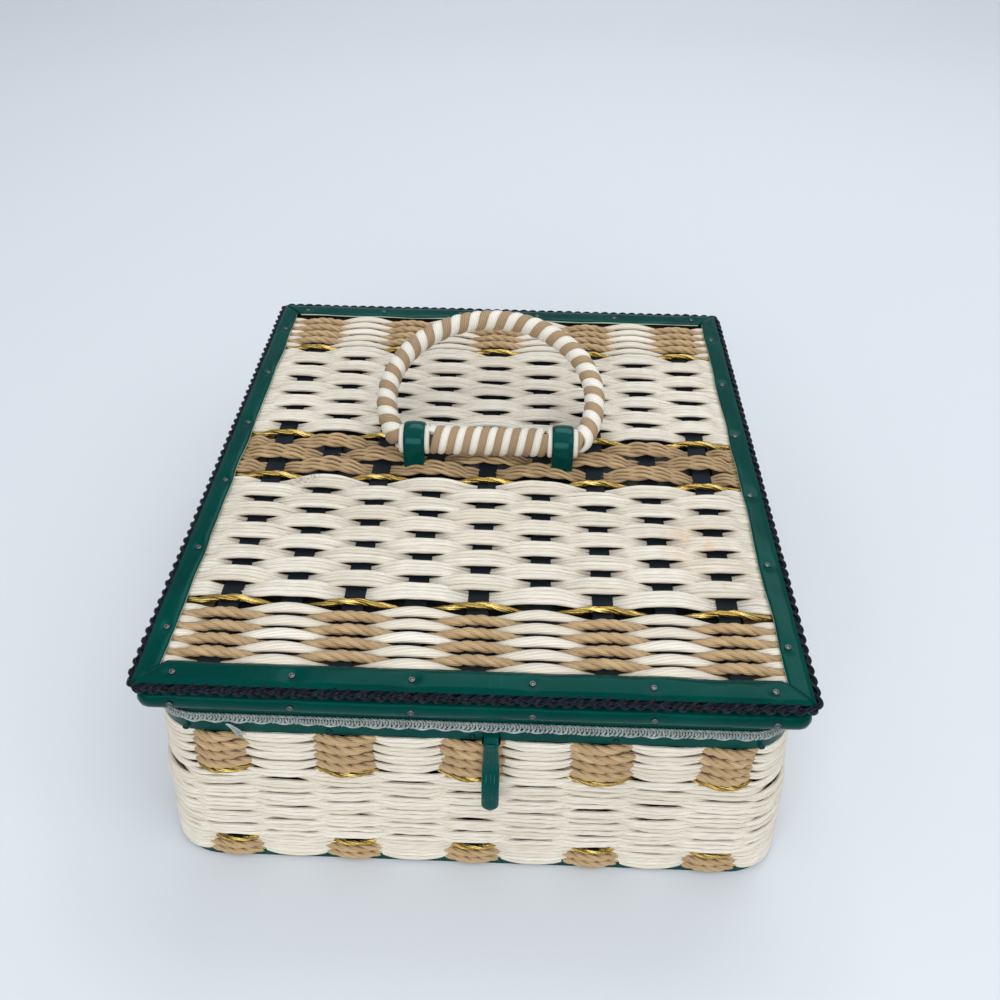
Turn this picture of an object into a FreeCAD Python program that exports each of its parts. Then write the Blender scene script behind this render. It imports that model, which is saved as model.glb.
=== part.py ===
import FreeCAD, Part
import math
import os
import re
import Sketcher
from FreeCAD import Placement, Rotation, Vector

# Woven sewing basket with a framed lid, a wound ring handle and a pull loop, in millimetres.
# The origin is the middle of the face that it rests on: +X right, +Y to the hinge, +Z up.

SIZES = {
    # Lid frame
    "lid_width": 254.0,
    "lid_depth": 290.0,
    "rail_width": 16.0,
    "rail_height": 11.8,
    "edge_inset": 3.5,
    # Woven panel of the lid
    "panel_flange": 2.4,
    "panel_rise": 4.6,
    "panel_drop": 3.4,
    "panel_edge": 1.0,
    # Vinyl binding, edge cord and side band of the lid
    "binding_width": 10.7,
    "binding_thickness": 1.4,
    "binding_round": 0.5,
    "cord_diameter": 6.2,
    "side_band_height": 7.8,
    "side_band_reach": 5.0,
    "side_band_round": 2.0,
    # Inside of the lid
    "backing_thickness": 2.0,
    "lid_pad_thickness": 5.0,
    "pad_round": 1.8,
    # Base board and woven wall
    "board_thickness": 4.5,
    "board_inset": 1.6,
    "board_round": 1.2,
    "wall_height": 73.2,
    "wall_thickness": 8.0,
    "wall_flare": 5.5,
    "wall_corner": 24.0,
    "wall_round": 3.0,
    # Rim of the base
    "rim_height": 12.9,
    "rim_inset": 5.0,
    "hoop_thickness": 5.0,
    "rim_corner": 16.0,
    "band_thickness": 1.2,
    "gimp_height": 8.0,
    "gimp_thickness": 1.2,
    "gimp_drop": 1.5,
    "lid_gap": 1.0,
    # Flat uprights in the weave
    "stake_width": 8.5,
    "stake_thickness": 1.2,
    "stake_pitch": 25.4,
    "stake_foot": 3.0,
    "corner_stake_width": 5.0,
    # Satin lining
    "lining_thickness": 4.0,
    "bottom_pad_thickness": 8.0,
    "lining_top_gap": 1.5,
    # Ring handle
    "bow_radius": 50.8,
    "bow_offset": 26.5,
    "bend_radius": 6.0,
    "handle_tilt": 18.0,
    "core_radius": 2.0,
    "strand_diameter": 3.2,
    "sleeve_thickness": 1.8,
    "grip_gap": 1.0,
    "handle_clearance": 1.3,
    # Vinyl straps that hold the handle
    "strap_inset": 4.8,
    "strap_width": 10.0,
    "strap_thickness": 1.3,
    "strap_clearance": 0.25,
    # Pull loop and its staple
    "loop_place": 7.5,
    "loop_width": 7.0,
    "loop_neck": 5.5,
    "loop_length": 35.5,
    "loop_thickness": 3.0,
    "loop_slit": 0.8,
    "loop_wall": 1.0,
    "loop_stand_off": 3.9,
    "loop_drop": 2.0,
    "staple_radius": 0.7,
    "staple_half_span": 5.2,
    # Hinges
    "hinge_place": 70.0,
    "pin_radius": 1.5,
    "knuckle_wall": 1.05,
    "knuckle_width": 12.0,
    "knuckle_side_width": 8.0,
    "hinge_stand_off": 3.1,
    "hinge_leaf": 1.0,
    "hinge_leg": 7.0,
    "pin_head": 1.2,
    "pin_head_reach": 0.9,
    # Tacks
    "tack_head_radius": 1.15,
    "tack_head_height": 0.7,
    "tack_shank_radius": 0.4,
    "tack_length": 8.0,
    "tack_pitch": 45.0,
    "tack_end": 14.0,
    # Clearances
    "fit_gap": 0.2,
    "running_gap": 0.05,
    "side_gap": 0.4,
    "course_gap": 0.1,
    "overrun": 4.0,
}

# Heights and half sizes that follow from the sizes above
PLACES = {
    "wall_bottom": "board_thickness + fit_gap",
    "wall_top": "wall_bottom + wall_height",
    "rim_bottom": "wall_top + fit_gap",
    "rim_top": "rim_bottom + rim_height",
    "lid_bottom": "rim_top + lid_gap",
    "rail_top": "lid_bottom + rail_height",
    "binding_bottom": "rail_top + panel_flange",
    "binding_top": "binding_bottom + binding_thickness",
    "panel_top": "rail_top + panel_rise",
    "panel_bottom": "rail_top - panel_drop",
    "backing_bottom": "panel_bottom - fit_gap - backing_thickness",
    "half_x": "lid_width / 2",
    "half_y": "lid_depth / 2",
    "rail_x": "half_x - edge_inset",
    "rail_y": "half_y - edge_inset",
    "opening_x": "rail_x - rail_width",
    "opening_y": "rail_y - rail_width",
    "hoop_x": "half_x - rim_inset",
    "hoop_y": "half_y - rim_inset",
    "stake_x": "hoop_x + fit_gap + stake_thickness / 2",
    "stake_y": "hoop_y + fit_gap + stake_thickness / 2",
    "flare_rate": "wall_flare / wall_height",
    "rim_flare": "flare_rate * (rim_top - wall_top)",
    "wall_x": "stake_x + rim_flare + wall_thickness / 2",
    "wall_y": "stake_y + rim_flare + wall_thickness / 2",
    "foot_x": "wall_x + wall_flare",
    "foot_y": "wall_y + wall_flare",
    "band_x": "stake_x + stake_thickness / 2 + rim_flare + fit_gap + band_thickness",
    "band_y": "stake_y + stake_thickness / 2 + rim_flare + fit_gap + band_thickness",
    "gimp_x": "band_x + fit_gap + gimp_thickness",
    "gimp_y": "band_y + fit_gap + gimp_thickness",
    "gimp_top": "rim_top - gimp_drop",
    "gimp_bottom": "gimp_top - gimp_height",
    "side_band_x": "rail_x + side_band_reach",
    "side_band_y": "rail_y + side_band_reach",
    "cord_z": "binding_bottom - cord_diameter / 2 - course_gap",
    "cord_x": "rail_x + cord_diameter / 2 + course_gap",
    "cord_y": "rail_y + cord_diameter / 2 + course_gap",
    "wrap_radius": "core_radius + running_gap + strand_diameter / 2",
    "bow_tube_radius": "core_radius + running_gap + strand_diameter",
    "sleeve_radius": "core_radius + running_gap + sleeve_thickness",
    "grip_wrap_radius": "sleeve_radius + running_gap + strand_diameter / 2",
    "grip_radius": "sleeve_radius + running_gap + strand_diameter",
    "handle_z": "panel_top + handle_clearance + grip_radius",
    "strap_inner": "grip_radius + strap_clearance",
    "strap_outer": "strap_inner + strap_thickness",
    "bend_x": "sqrt((bow_radius - bend_radius)^2 - (bow_offset - bend_radius)^2)",
    "strap_place": "bend_x - strap_inset",
    "grip_half_length": "strap_place - strap_width / 2 - grip_gap",
    "loop_y": "0 - band_y - loop_stand_off",
    "loop_z": "gimp_bottom - loop_drop",
    "eye_radius": "staple_radius + running_gap + loop_wall",
    "knuckle_radius": "pin_radius + running_gap + knuckle_wall",
    "hinge_y": "side_band_y + hinge_stand_off",
    "hinge_z": "rim_top + lid_gap / 2",
    "lining_x": "hoop_x - hoop_thickness - fit_gap",
    "lining_y": "hoop_y - hoop_thickness - fit_gap",
    "lining_bottom": "board_thickness + fit_gap",
    "lining_top": "rim_top - lining_top_gap",
}

# Courses of the weave, as shares of the wall's height from the board and of the lid's depth from the front
WALL_COURSE_SHARES = {
    "wall_lower_band": (0.0, 0.06),
    "wall_lower_gold_cord": (0.06, 0.096),
    "wall_white_field": (0.096, 0.682),
    "wall_upper_gold_cord": (0.682, 0.718),
    "wall_checker_band": (0.718, 1.0),
}
LID_COURSE_SHARES = {
    "lid_front_checker": (0.0, 0.15),
    "lid_front_gold_cord": (0.15, 0.166),
    "lid_front_white_field": (0.166, 0.434),
    "lid_mid_front_gold_cord": (0.434, 0.45),
    "lid_tan_field": (0.45, 0.55),
    "lid_mid_back_gold_cord": (0.55, 0.566),
    "lid_back_white_field": (0.566, 0.834),
    "lid_back_gold_cord": (0.834, 0.85),
    "lid_back_checker": (0.85, 1.0),
}

LOOP_NECK_SHARE = 0.35
GRIP_TURNS = 7
BOW_TURNS = 20
STEPS_PER_TURN = 4
GAP_SAMPLES_PER_TURN = 48
TOLERANCE = 1e-4

doc = FreeCAD.newDocument("sewing_basket")
sheet = doc.addObject("Spreadsheet::Sheet", "Sizes")
for row, (alias, number) in enumerate(SIZES.items(), start=1):
    sheet.set(f"A{row}", alias)
    sheet.set(f"B{row}", str(number))
    sheet.setAlias(f"B{row}", alias)
doc.recompute()
places = doc.addObject("App::VarSet", "Places")


def formula(text):
    """Names the sheet or the set of places for each size that a formula uses."""
    def owner(match):
        word = match.group(0)
        if word in SIZES:
            return f"Sizes.{word}"
        if word in PLACES:
            return f"Places.{word}"
        return word
    return re.sub(r"[a-z_]+[a-z0-9_]*", owner, text)


for alias, text in PLACES.items():
    places.addProperty("App::PropertyFloat", alias, "Places")
    places.setExpression(alias, formula(text))
doc.recompute()


def size(alias):
    """The number that a size or place holds."""
    if alias in SIZES:
        return float(sheet.get(alias))
    return float(places.getPropertyByName(alias))


def bind(item, formulas):
    for target, text in formulas.items():
        item.setExpression(target, formula(text))
    return item


def origin_plane(body, role):
    return [plane for plane in body.Origin.OriginFeatures if plane.Role == role][0]


def new_body(label):
    body = doc.addObject("PartDesign::Body", label)
    body.Label = label
    return body


def new_sketch(body, name, level="", role="XY_Plane"):
    sketch = body.newObject("Sketcher::SketchObject", f"{body.Name}_{name}")
    sketch.AttachmentSupport = [(origin_plane(body, role), "")]
    sketch.MapMode = "FlatFace"
    if level:
        bind(sketch, {"AttachmentOffset.Base.z": level})
    return sketch


def pin_point(sketch, geometry, end, x_text, y_text):
    """Holds one end of an edge at a place given by two formulas."""
    for kind, axis, text in (("DistanceX", -2, x_text), ("DistanceY", -1, y_text)):
        if text == "0":
            sketch.addConstraint(Sketcher.Constraint("PointOnObject", geometry, end, axis))
            continue
        point = sketch.getPoint(geometry, end)
        start = point.x if kind == "DistanceX" else point.y
        index = sketch.addConstraint(Sketcher.Constraint(kind, -1, 1, geometry, end, start))
        bind(sketch, {f"Constraints[{index}]": text})


trial = doc.addObject("App::VarSet", "Trial")
trial.addProperty("App::PropertyFloat", "result", "Places")


def number_of(text):
    """The value of a formula, worked out by the document itself."""
    trial.setExpression("result", formula(text))
    trial.recompute()
    return float(trial.result)


def draw_polygon(sketch, points):
    """A closed outline through corners given as pairs of formulas."""
    corners = [Vector(number_of(x), number_of(y), 0) for x, y in points]
    count = len(points)
    first = sketch.GeometryCount
    for index in range(count):
        line = Part.LineSegment(corners[index], corners[(index + 1) % count])
        sketch.addGeometry(line, False)
    for index in range(count):
        following = first + (index + 1) % count
        sketch.addConstraint(Sketcher.Constraint("Coincident", first + index, 2, following, 1))
    for index, (x_text, y_text) in enumerate(points):
        pin_point(sketch, first + index, 1, x_text, y_text)


def draw_rounded(sketch, half_x, half_y, corner):
    """A rectangle about the middle with round corners, from three formulas."""
    reach_x = number_of(half_x)
    reach_y = number_of(half_y)
    bend = number_of(corner)
    quarters = ((1, 1), (-1, 1), (-1, -1), (1, -1))
    arcs = []
    for quarter, (sx, sy) in enumerate(quarters):
        centre = Vector(sx * (reach_x - bend), sy * (reach_y - bend), 0)
        start = quarter * math.pi / 2
        circle = Part.Circle(centre, Vector(0, 0, 1), bend)
        arc = Part.ArcOfCircle(circle, start, start + math.pi / 2)
        arcs.append(sketch.addGeometry(arc, False))
    for index, arc in enumerate(arcs):
        following = arcs[(index + 1) % len(arcs)]
        edge = Part.LineSegment(sketch.getPoint(arc, 2), sketch.getPoint(following, 1))
        line = sketch.addGeometry(edge, False)
        sketch.addConstraint(Sketcher.Constraint("Tangent", arc, 2, line, 1))
        sketch.addConstraint(Sketcher.Constraint("Tangent", line, 2, following, 1))
    for arc, (sx, sy) in zip(arcs, quarters):
        pin_point(sketch, arc, 3, f"{sx}*(({half_x})-({corner}))", f"{sy}*(({half_y})-({corner}))")
    for arc in arcs[1:]:
        sketch.addConstraint(Sketcher.Constraint("Equal", arcs[0], arc))
    radius = sketch.addConstraint(Sketcher.Constraint("Radius", arcs[0], bend))
    bind(sketch, {f"Constraints[{radius}]": corner})


def pad(body, sketch, height):
    feature = body.newObject("PartDesign::Pad", f"{sketch.Name}_pad")
    feature.Profile = sketch
    bind(feature, {"Length": height})
    doc.recompute()
    return feature


def fillet(body, feature, radius, wanted):
    """Rounds the edges of a feature that a test picks."""
    names = [f"Edge{index}" for index, edge in enumerate(feature.Shape.Edges, start=1) if wanted(edge)]
    rounding = body.newObject("PartDesign::Fillet", f"{feature.Name}_fillet")
    rounding.Base = (feature, names)
    bind(rounding, {"Radius": radius})
    doc.recompute()
    return rounding


def lies_at(height):
    """Picks the edges that lie flat at one height."""
    level = number_of(height)
    return lambda edge: all(abs(vertex.Z - level) < TOLERANCE for vertex in edge.Vertexes)


def box(label, low, high):
    """A block between two corners, each given as three formulas."""
    item = doc.addObject("Part::Box", label)
    item.Label = label
    for side, axis, start, end in zip(("Length", "Width", "Height"), "xyz", low, high):
        bind(item, {side: f"({end}) - ({start})", f"Placement.Base.{axis}": start})
    return item


def cylinder(label, radius, length, direction, start):
    """A round bar from a start point, given as three formulas, along one axis."""
    item = doc.addObject("Part::Cylinder", label)
    item.Label = label
    item.Placement = Placement(Vector(), Rotation(Vector(0, 0, 1), direction))
    bind(item, {"Radius": radius, "Height": length})
    for axis, text in zip("xyz", start):
        bind(item, {f"Placement.Base.{axis}": text})
    return item


def join(label, items):
    item = doc.addObject("Part::MultiFuse", label)
    item.Shapes = items
    item.Label = label
    return item


def cut(label, base, tool):
    item = doc.addObject("Part::Cut", label)
    item.Base = base
    item.Tool = tool
    item.Label = label
    return item


def common(label, base, tool):
    item = doc.addObject("Part::Common", label)
    item.Base = base
    item.Tool = tool
    item.Label = label
    return item


def group(label, items):
    item = doc.addObject("Part::Compound", label)
    item.Links = items
    item.Label = label
    return item


def shape_feature(label, shape):
    item = doc.addObject("Part::Feature", label)
    item.Shape = shape
    item.Placement = Placement()
    item.Label = label
    return item


def block_body(label, low, high, rounding):
    """A soft block with all its edges rounded."""
    body = new_body(label)
    sketch = new_sketch(body, "plan", low[2])
    draw_polygon(sketch, [(low[0], low[1]), (high[0], low[1]), (high[0], high[1]), (low[0], high[1])])
    solid = pad(body, sketch, f"({high[2]}) - ({low[2]})")
    fillet(body, solid, rounding, lambda edge: True)
    return body


def ring_body(label, reach, corner, thickness, bottom, height, rounding=""):
    """A closed band round the basket, its outer half sizes and corner radius given as formulas."""
    body = new_body(label)
    sketch = new_sketch(body, "plan", bottom)
    draw_rounded(sketch, reach[0], reach[1], corner)
    inside = [f"{outer} - ({thickness})" for outer in (*reach, corner)]
    draw_rounded(sketch, *inside)
    band = pad(body, sketch, height)
    if rounding:
        past_x = number_of(f"{reach[0]} - ({thickness}) / 2")
        past_y = number_of(f"{reach[1]} - ({thickness}) / 2")
        fillet(body, band, rounding,
               lambda edge: abs(edge.Vertexes[0].Z - edge.Vertexes[-1].Z) < TOLERANCE
               and all(abs(vertex.X) > past_x or abs(vertex.Y) > past_y for vertex in edge.Vertexes))
    return body


def mitred_strip(label, side, reach, width, bottom, height):
    """One of four strips that meet at mitred corners round a rectangle."""
    body = new_body(label)
    sketch = new_sketch(body, "plan", bottom)
    far_x, far_y = reach
    near_x, near_y = f"{far_x} - {width}", f"{far_y} - {width}"
    corners = {
        "front": ((-1, -1), (1, -1)),
        "right": ((1, -1), (1, 1)),
        "back": ((1, 1), (-1, 1)),
        "left": ((-1, 1), (-1, -1)),
    }[side]
    outer = [(f"{sx}*({far_x})", f"{sy}*({far_y})") for sx, sy in corners]
    inner = [(f"{sx}*({near_x})", f"{sy}*({near_y})") for sx, sy in corners[::-1]]
    draw_polygon(sketch, outer + inner)
    return body, pad(body, sketch, height)


def spread(length, margin):
    """Places along a strip, evenly spaced near the tack pitch, clear of both ends."""
    free = length - 2 * margin
    count = max(2, int(free / size("tack_pitch")) + 1)
    return [-free / 2 + free * index / (count - 1) for index in range(count)]


def tack_group(label, heads):
    """Tacks driven at places, each with the direction that its head faces."""
    tacks = []
    for place, facing in heads:
        tack = tack_blank.Shape.copy()
        tack.Placement = Placement(place, Rotation(Vector(0, 0, 1), facing))
        tacks.append(tack)
    return shape_feature(label, Part.makeCompound(tacks))


def edge_tacks(label, reach_x, reach_y, level, sides):
    """Tacks in the outer faces of a band round the basket."""
    heads = []
    for along in spread(2 * reach_x, size("tack_end")):
        heads.append((Vector(along, -reach_y, level), Vector(0, -1, 0), "front"))
        heads.append((Vector(along, reach_y, level), Vector(0, 1, 0), "back"))
    for along in spread(2 * reach_y, size("tack_end")):
        heads.append((Vector(-reach_x, along, level), Vector(-1, 0, 0), "left"))
        heads.append((Vector(reach_x, along, level), Vector(1, 0, 0), "right"))
    return tack_group(label, [head[:2] for head in heads if head[2] in sides])


# Bottom board: hardboard covered in vinyl, on which the woven wall stands
board = new_body("bottom_board")
board_plan = new_sketch(board, "plan")
draw_rounded(board_plan, "foot_x - board_inset", "foot_y - board_inset", "wall_corner - board_inset")
board_pad = pad(board, board_plan, "board_thickness")
fillet(board, board_pad, "board_round", lies_at("board_thickness"))

# Woven wall: a flared ring that the flat uprights pass through, cut into its courses


def flared_block(label, inset):
    """A block as tall as the wall that narrows upwards with it."""
    body = new_body(label)
    plan = new_sketch(body, "plan", "wall_bottom")
    draw_rounded(plan, f"foot_x - {inset}", f"foot_y - {inset}", f"wall_corner - {inset}")
    block = pad(body, plan, "wall_height")
    bind(block, {"TaperAngle": "-atan(flare_rate)"})
    doc.recompute()
    return body, block


wall_outside, wall_block = flared_block("wall_outside", "0")
fillet(wall_outside, wall_block, "wall_round",
       lambda edge: lies_at("wall_bottom")(edge) or lies_at("wall_top")(edge))
wall_inside, _ = flared_block("wall_inside", "wall_thickness")
wall = cut("wall_blank", wall_outside, wall_inside)


def wall_uprights(margin):
    """The flat uprights of the wall, leaning out with it, each grown by a margin."""
    lean = math.atan(size("flare_rate"))
    foot_z = size("wall_bottom") + size("stake_foot")
    length = (size("rim_top") - foot_z) / math.cos(lean)
    width = size("stake_width") + 2 * margin
    thickness = size("stake_thickness") + 2 * margin
    blank = Part.makeBox(width, thickness, length + 2 * margin,
                         Vector(-width / 2, -thickness / 2, -length - margin))
    stands = []
    for turn, reach, half in ((0, size("stake_y"), size("stake_x")), (90, size("stake_x"), size("stake_y"))):
        free = half - size("wall_corner") + size("stake_width") / 2
        count = int(2 * free / size("stake_pitch")) + 1
        for facing in (turn, turn + 180):
            for step in range(count):
                along = (step - (count - 1) / 2) * size("stake_pitch")
                stands.append((facing, Vector(along, -reach, size("rim_top"))))
    solids = []
    for facing, place in stands:
        solid = blank.copy()
        solid.rotate(Vector(), Vector(1, 0, 0), -math.degrees(lean))
        solid.translate(place)
        solid.rotate(Vector(), Vector(0, 0, 1), facing)
        solids.append(solid)
    corner_width = size("corner_stake_width") + 2 * margin
    corner_blank = Part.makeBox(corner_width, thickness, length + 2 * margin,
                                Vector(-corner_width / 2, -thickness / 2, -length - margin))
    diagonal = math.sqrt(0.5) * (size("rim_corner") + size("stake_x") - size("hoop_x"))
    for sx, sy, facing in ((1, -1, 45), (1, 1, 135), (-1, 1, 225), (-1, -1, 315)):
        solid = corner_blank.copy()
        solid.rotate(Vector(), Vector(1, 0, 0), -math.degrees(lean))
        solid.rotate(Vector(), Vector(0, 0, 1), facing)
        place_x = sx * (size("hoop_x") - size("rim_corner") + diagonal)
        place_y = sy * (size("hoop_y") - size("rim_corner") + diagonal)
        solid.translate(Vector(place_x, place_y, size("rim_top")))
        solids.append(solid)
    return Part.makeCompound(solids)


wall_stakes = shape_feature("wall_stakes", wall_uprights(0))
wall_slots = shape_feature("wall_slots", wall_uprights(size("fit_gap")))
slotted_wall = cut("slotted_wall", wall, wall_slots)
wall_courses = []
for label, (low_share, high_share) in WALL_COURSE_SHARES.items():
    reach = ("(foot_x + overrun)", "(foot_y + overrun)")
    low = (f"0 - {reach[0]}", f"0 - {reach[1]}", f"wall_bottom + {low_share} * wall_height + course_gap / 2")
    high = (reach[0], reach[1], f"wall_bottom + {high_share} * wall_height - course_gap / 2")
    wall_courses.append(common(label, slotted_wall, box(f"{label}_slab", low, high)))

# Rim of the base: wood hoop inside the uprights, vinyl band outside them, braid on the band
rim_hoop = ring_body("rim_hoop", ("hoop_x", "hoop_y"), "rim_corner", "hoop_thickness",
                     "rim_bottom", "rim_height")
band_corner = "(rim_corner + band_x - hoop_x)"
rim_band = ring_body("rim_band", ("band_x", "band_y"), band_corner, "band_thickness",
                     "rim_bottom", "rim_height")
gimp_corner = "(rim_corner + gimp_x - hoop_x)"
rim_gimp = ring_body("rim_gimp", ("gimp_x", "gimp_y"), gimp_corner, "gimp_thickness",
                     "gimp_bottom", "gimp_height")

# Tacks: a low domed head on a round shank
tack_head = doc.addObject("Part::Cone", "tack_head")
bind(tack_head, {"Radius1": "tack_head_radius", "Radius2": "tack_shank_radius", "Height": "tack_head_height"})
tack_shank = cylinder("tack_shank", "tack_shank_radius", "tack_length", Vector(0, 0, 1),
                      ("0", "0", "0 - tack_length"))
tack_blank = join("tack_blank", [tack_head, tack_shank])
doc.recompute()
rim_tack_level = (size("rim_bottom") + size("gimp_bottom")) / 2
rim_tacks = edge_tacks("rim_tacks", size("band_x"), size("band_y"), rim_tack_level,
                       ("front", "left", "right"))

# Satin lining: four padded walls and a padded floor
lining_parts = {
    "lining_front": (("0 - lining_x", "0 - lining_y"), ("lining_x", "0 - lining_y + lining_thickness")),
    "lining_back": (("0 - lining_x", "lining_y - lining_thickness"), ("lining_x", "lining_y")),
    "lining_left": (("0 - lining_x", "0 - lining_y + lining_thickness + fit_gap"),
                    ("0 - lining_x + lining_thickness", "lining_y - lining_thickness - fit_gap")),
    "lining_right": (("lining_x - lining_thickness", "0 - lining_y + lining_thickness + fit_gap"),
                     ("lining_x", "lining_y - lining_thickness - fit_gap")),
}
lining_room = new_body("lining_room")
lining_plan = new_sketch(lining_room, "plan", "lining_bottom")
draw_rounded(lining_plan, "lining_x", "lining_y", "rim_corner - hoop_thickness")
pad(lining_room, lining_plan, "lining_top - lining_bottom")
lining = []
for label, (low, high) in lining_parts.items():
    panel = block_body(f"{label}_panel", (*low, "lining_bottom"), (*high, "lining_top"), "pad_round")
    lining.append(common(label, panel, lining_room))
pad_x = "(lining_x - lining_thickness - fit_gap)"
pad_y = "(lining_y - lining_thickness - fit_gap)"
bottom_pad = block_body("bottom_pad", (f"0 - {pad_x}", f"0 - {pad_y}", "lining_bottom"),
                        (pad_x, pad_y, "lining_bottom + bottom_pad_thickness"), "pad_round")

# Lid frame: four wood rails, mitred
rails = []
bindings = []
for side in ("front", "back", "left", "right"):
    rail, _ = mitred_strip(f"lid_{side}_rail", side, ("rail_x", "rail_y"), "rail_width",
                           "lid_bottom", "rail_height")
    rails.append(rail)
    strip, strip_pad = mitred_strip(f"{side}_binding", side, ("half_x", "half_y"), "binding_width",
                                    "binding_bottom", "binding_thickness")
    far = number_of("half_y" if side in ("front", "back") else "half_x")
    axis = "Y" if side in ("front", "back") else "X"
    top_edge = lies_at("binding_top")
    fillet(strip, strip_pad, "binding_round",
           lambda edge: top_edge(edge)
           and all(abs(abs(getattr(vertex, axis)) - far) < TOLERANCE for vertex in edge.Vertexes))
    bindings.append(strip)

# Woven panel of the lid: squeezed thin over the rails, full thickness inside them, cut into its courses
panel = new_body("panel_blank")
for name, level, height, reach_x, reach_y in (
        ("flange", "rail_top", "panel_flange - course_gap", "(rail_x - panel_edge)", "(rail_y - panel_edge)"),
        ("crown", "rail_top", "panel_rise",
         "(half_x - binding_width - fit_gap)", "(half_y - binding_width - fit_gap)"),
        ("keel", "panel_bottom", "panel_drop", "(opening_x - fit_gap)", "(opening_y - fit_gap)")):
    plan = new_sketch(panel, name, level)
    quarters = ((-1, -1), (1, -1), (1, 1), (-1, 1))
    draw_polygon(plan, [(f"{sx}*{reach_x}", f"{sy}*{reach_y}") for sx, sy in quarters])
    pad(panel, plan, height)


def lid_uprights(margin):
    """The flat uprights of the lid, front to back, each grown by a margin."""
    width = size("stake_width") + 2 * margin
    thickness = size("stake_thickness") + 2 * margin
    reach = size("rail_y") - size("panel_edge") + margin
    free = size("opening_x") - size("stake_width") / 2
    count = 2 * int(free / size("stake_pitch")) + 1
    level = size("rail_top") + size("fit_gap") - margin
    solids = []
    for step in range(count):
        along = (step - (count - 1) / 2) * size("stake_pitch")
        solids.append(Part.makeBox(width, 2 * reach, thickness, Vector(along - width / 2, -reach, level)))
    return Part.makeCompound(solids)


def strap_legs(margin, bottom, top):
    """The legs of both handle straps between two heights, each grown by a margin."""
    solids = []
    width = size("strap_width") + 2 * margin
    thickness = size("strap_thickness") + 2 * margin
    for place in (-size("strap_place"), size("strap_place")):
        for near in (-size("strap_outer"), size("strap_inner")):
            corner = Vector(place - width / 2, near - margin, bottom)
            solids.append(Part.makeBox(width, thickness, top - bottom, corner))
    return Part.makeCompound(solids)


strap_room = strap_legs(size("fit_gap"), 0, size("handle_z"))
lid_stakes = shape_feature("lid_stakes", lid_uprights(0).cut(strap_room))
lid_slots = shape_feature("lid_slots", lid_uprights(size("fit_gap")))
strap_slots = shape_feature("strap_slots", strap_legs(size("fit_gap"), 0, size("handle_z")))
slotted_panel = cut("slotted_panel", cut("staked_panel", panel, lid_slots), strap_slots)
lid_courses = []
for label, (low_share, high_share) in LID_COURSE_SHARES.items():
    low = ("0 - half_x", f"{low_share} * lid_depth - half_y + course_gap / 2", "0")
    high = ("half_x", f"{high_share} * lid_depth - half_y - course_gap / 2", "panel_top + overrun")
    lid_courses.append(common(label, slotted_panel, box(f"{label}_slab", low, high)))

# Lid edge: dark plaited cord under the binding's overhang, vinyl side band under the cord
cord_path = new_body("cord_path")
cord_plan = new_sketch(cord_path, "plan", "cord_z")
draw_rounded(cord_plan, "cord_x", "cord_y", "cord_diameter / 2 + course_gap")
cord_section = doc.addObject("Part::Circle", "cord_section")
cord_section.Placement = Placement(Vector(), Rotation(Vector(0, 0, 1), Vector(1, 0, 0)))
bind(cord_section, {"Radius": "cord_diameter / 2"})
bind(cord_section, {"Placement.Base.y": "0 - cord_y", "Placement.Base.z": "cord_z"})
doc.recompute()
cord_wire = Part.Wire(Part.__sortEdges__(cord_plan.Shape.Edges))
cord_round = Part.Wire(cord_section.Shape.Edges)
edge_cord = shape_feature("lid_edge_cord", cord_wire.makePipeShell([cord_round], True, False))
side_band = ring_body("lid_side_band", ("side_band_x", "side_band_y"), "(side_band_reach + fit_gap)",
                      "side_band_reach - course_gap", "lid_bottom", "side_band_height - course_gap",
                      "side_band_round")
side_tack_level = size("lid_bottom") + size("side_band_height") / 2
lid_side_tacks = edge_tacks("lid_side_tacks", size("side_band_x"), size("side_band_y"), side_tack_level,
                            ("front", "left", "right"))
top_tacks = []
tack_line_x = size("half_x") - size("binding_width") / 2
tack_line_y = size("half_y") - size("binding_width") / 2
for way in (-1, 1):
    for along in spread(size("lid_width"), size("tack_end")):
        top_tacks.append((Vector(along, way * tack_line_y, size("binding_top")), Vector(0, 0, 1)))
    for along in spread(size("lid_depth") - 2 * size("tack_end"), size("tack_end")):
        top_tacks.append((Vector(way * tack_line_x, along, size("binding_top")), Vector(0, 0, 1)))
lid_top_tacks = tack_group("lid_top_tacks", top_tacks)

# Inside of the lid: a backing board and a padded satin panel
inner_x = "(opening_x - fit_gap)"
inner_y = "(opening_y - fit_gap)"
backing_blank = box("backing_blank", (f"0 - {inner_x}", f"0 - {inner_y}", "backing_bottom"),
                    (inner_x, inner_y, "backing_bottom + backing_thickness"))
lid_backing_board = cut("lid_backing_board", backing_blank, strap_slots)
pad_top = "(backing_bottom - fit_gap)"
lid_pad = block_body("lid_pad", (f"0 - {inner_x}", f"0 - {inner_y}", f"{pad_top} - lid_pad_thickness"),
                     (inner_x, inner_y, pad_top), "pad_round")

# Handle straps: a strip of vinyl over the grip, both legs down through the weave and the backing board
ALONG_X = Vector(1, 0, 0)
handle_straps = []
for side, way in (("left", "0 - "), ("right", "")):
    start = f"{way}strap_place - strap_width / 2"
    end = f"{way}strap_place + strap_width / 2"
    shells = []
    for layer, reach, foot in (("outer", "strap_outer", "backing_bottom"),
                               ("inner", "strap_inner", "backing_bottom - overrun")):
        arch = cylinder(f"strap_{side}_{layer}_arch", reach, "strap_width", ALONG_X, (start, "0", "handle_z"))
        legs = box(f"strap_{side}_{layer}_legs", (start, f"0 - {reach}", foot), (end, reach, "handle_z"))
        shells.append(join(f"strap_{side}_{layer}", [arch, legs]))
    handle_straps.append(cut(f"handle_strap_{side}", *shells))

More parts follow.
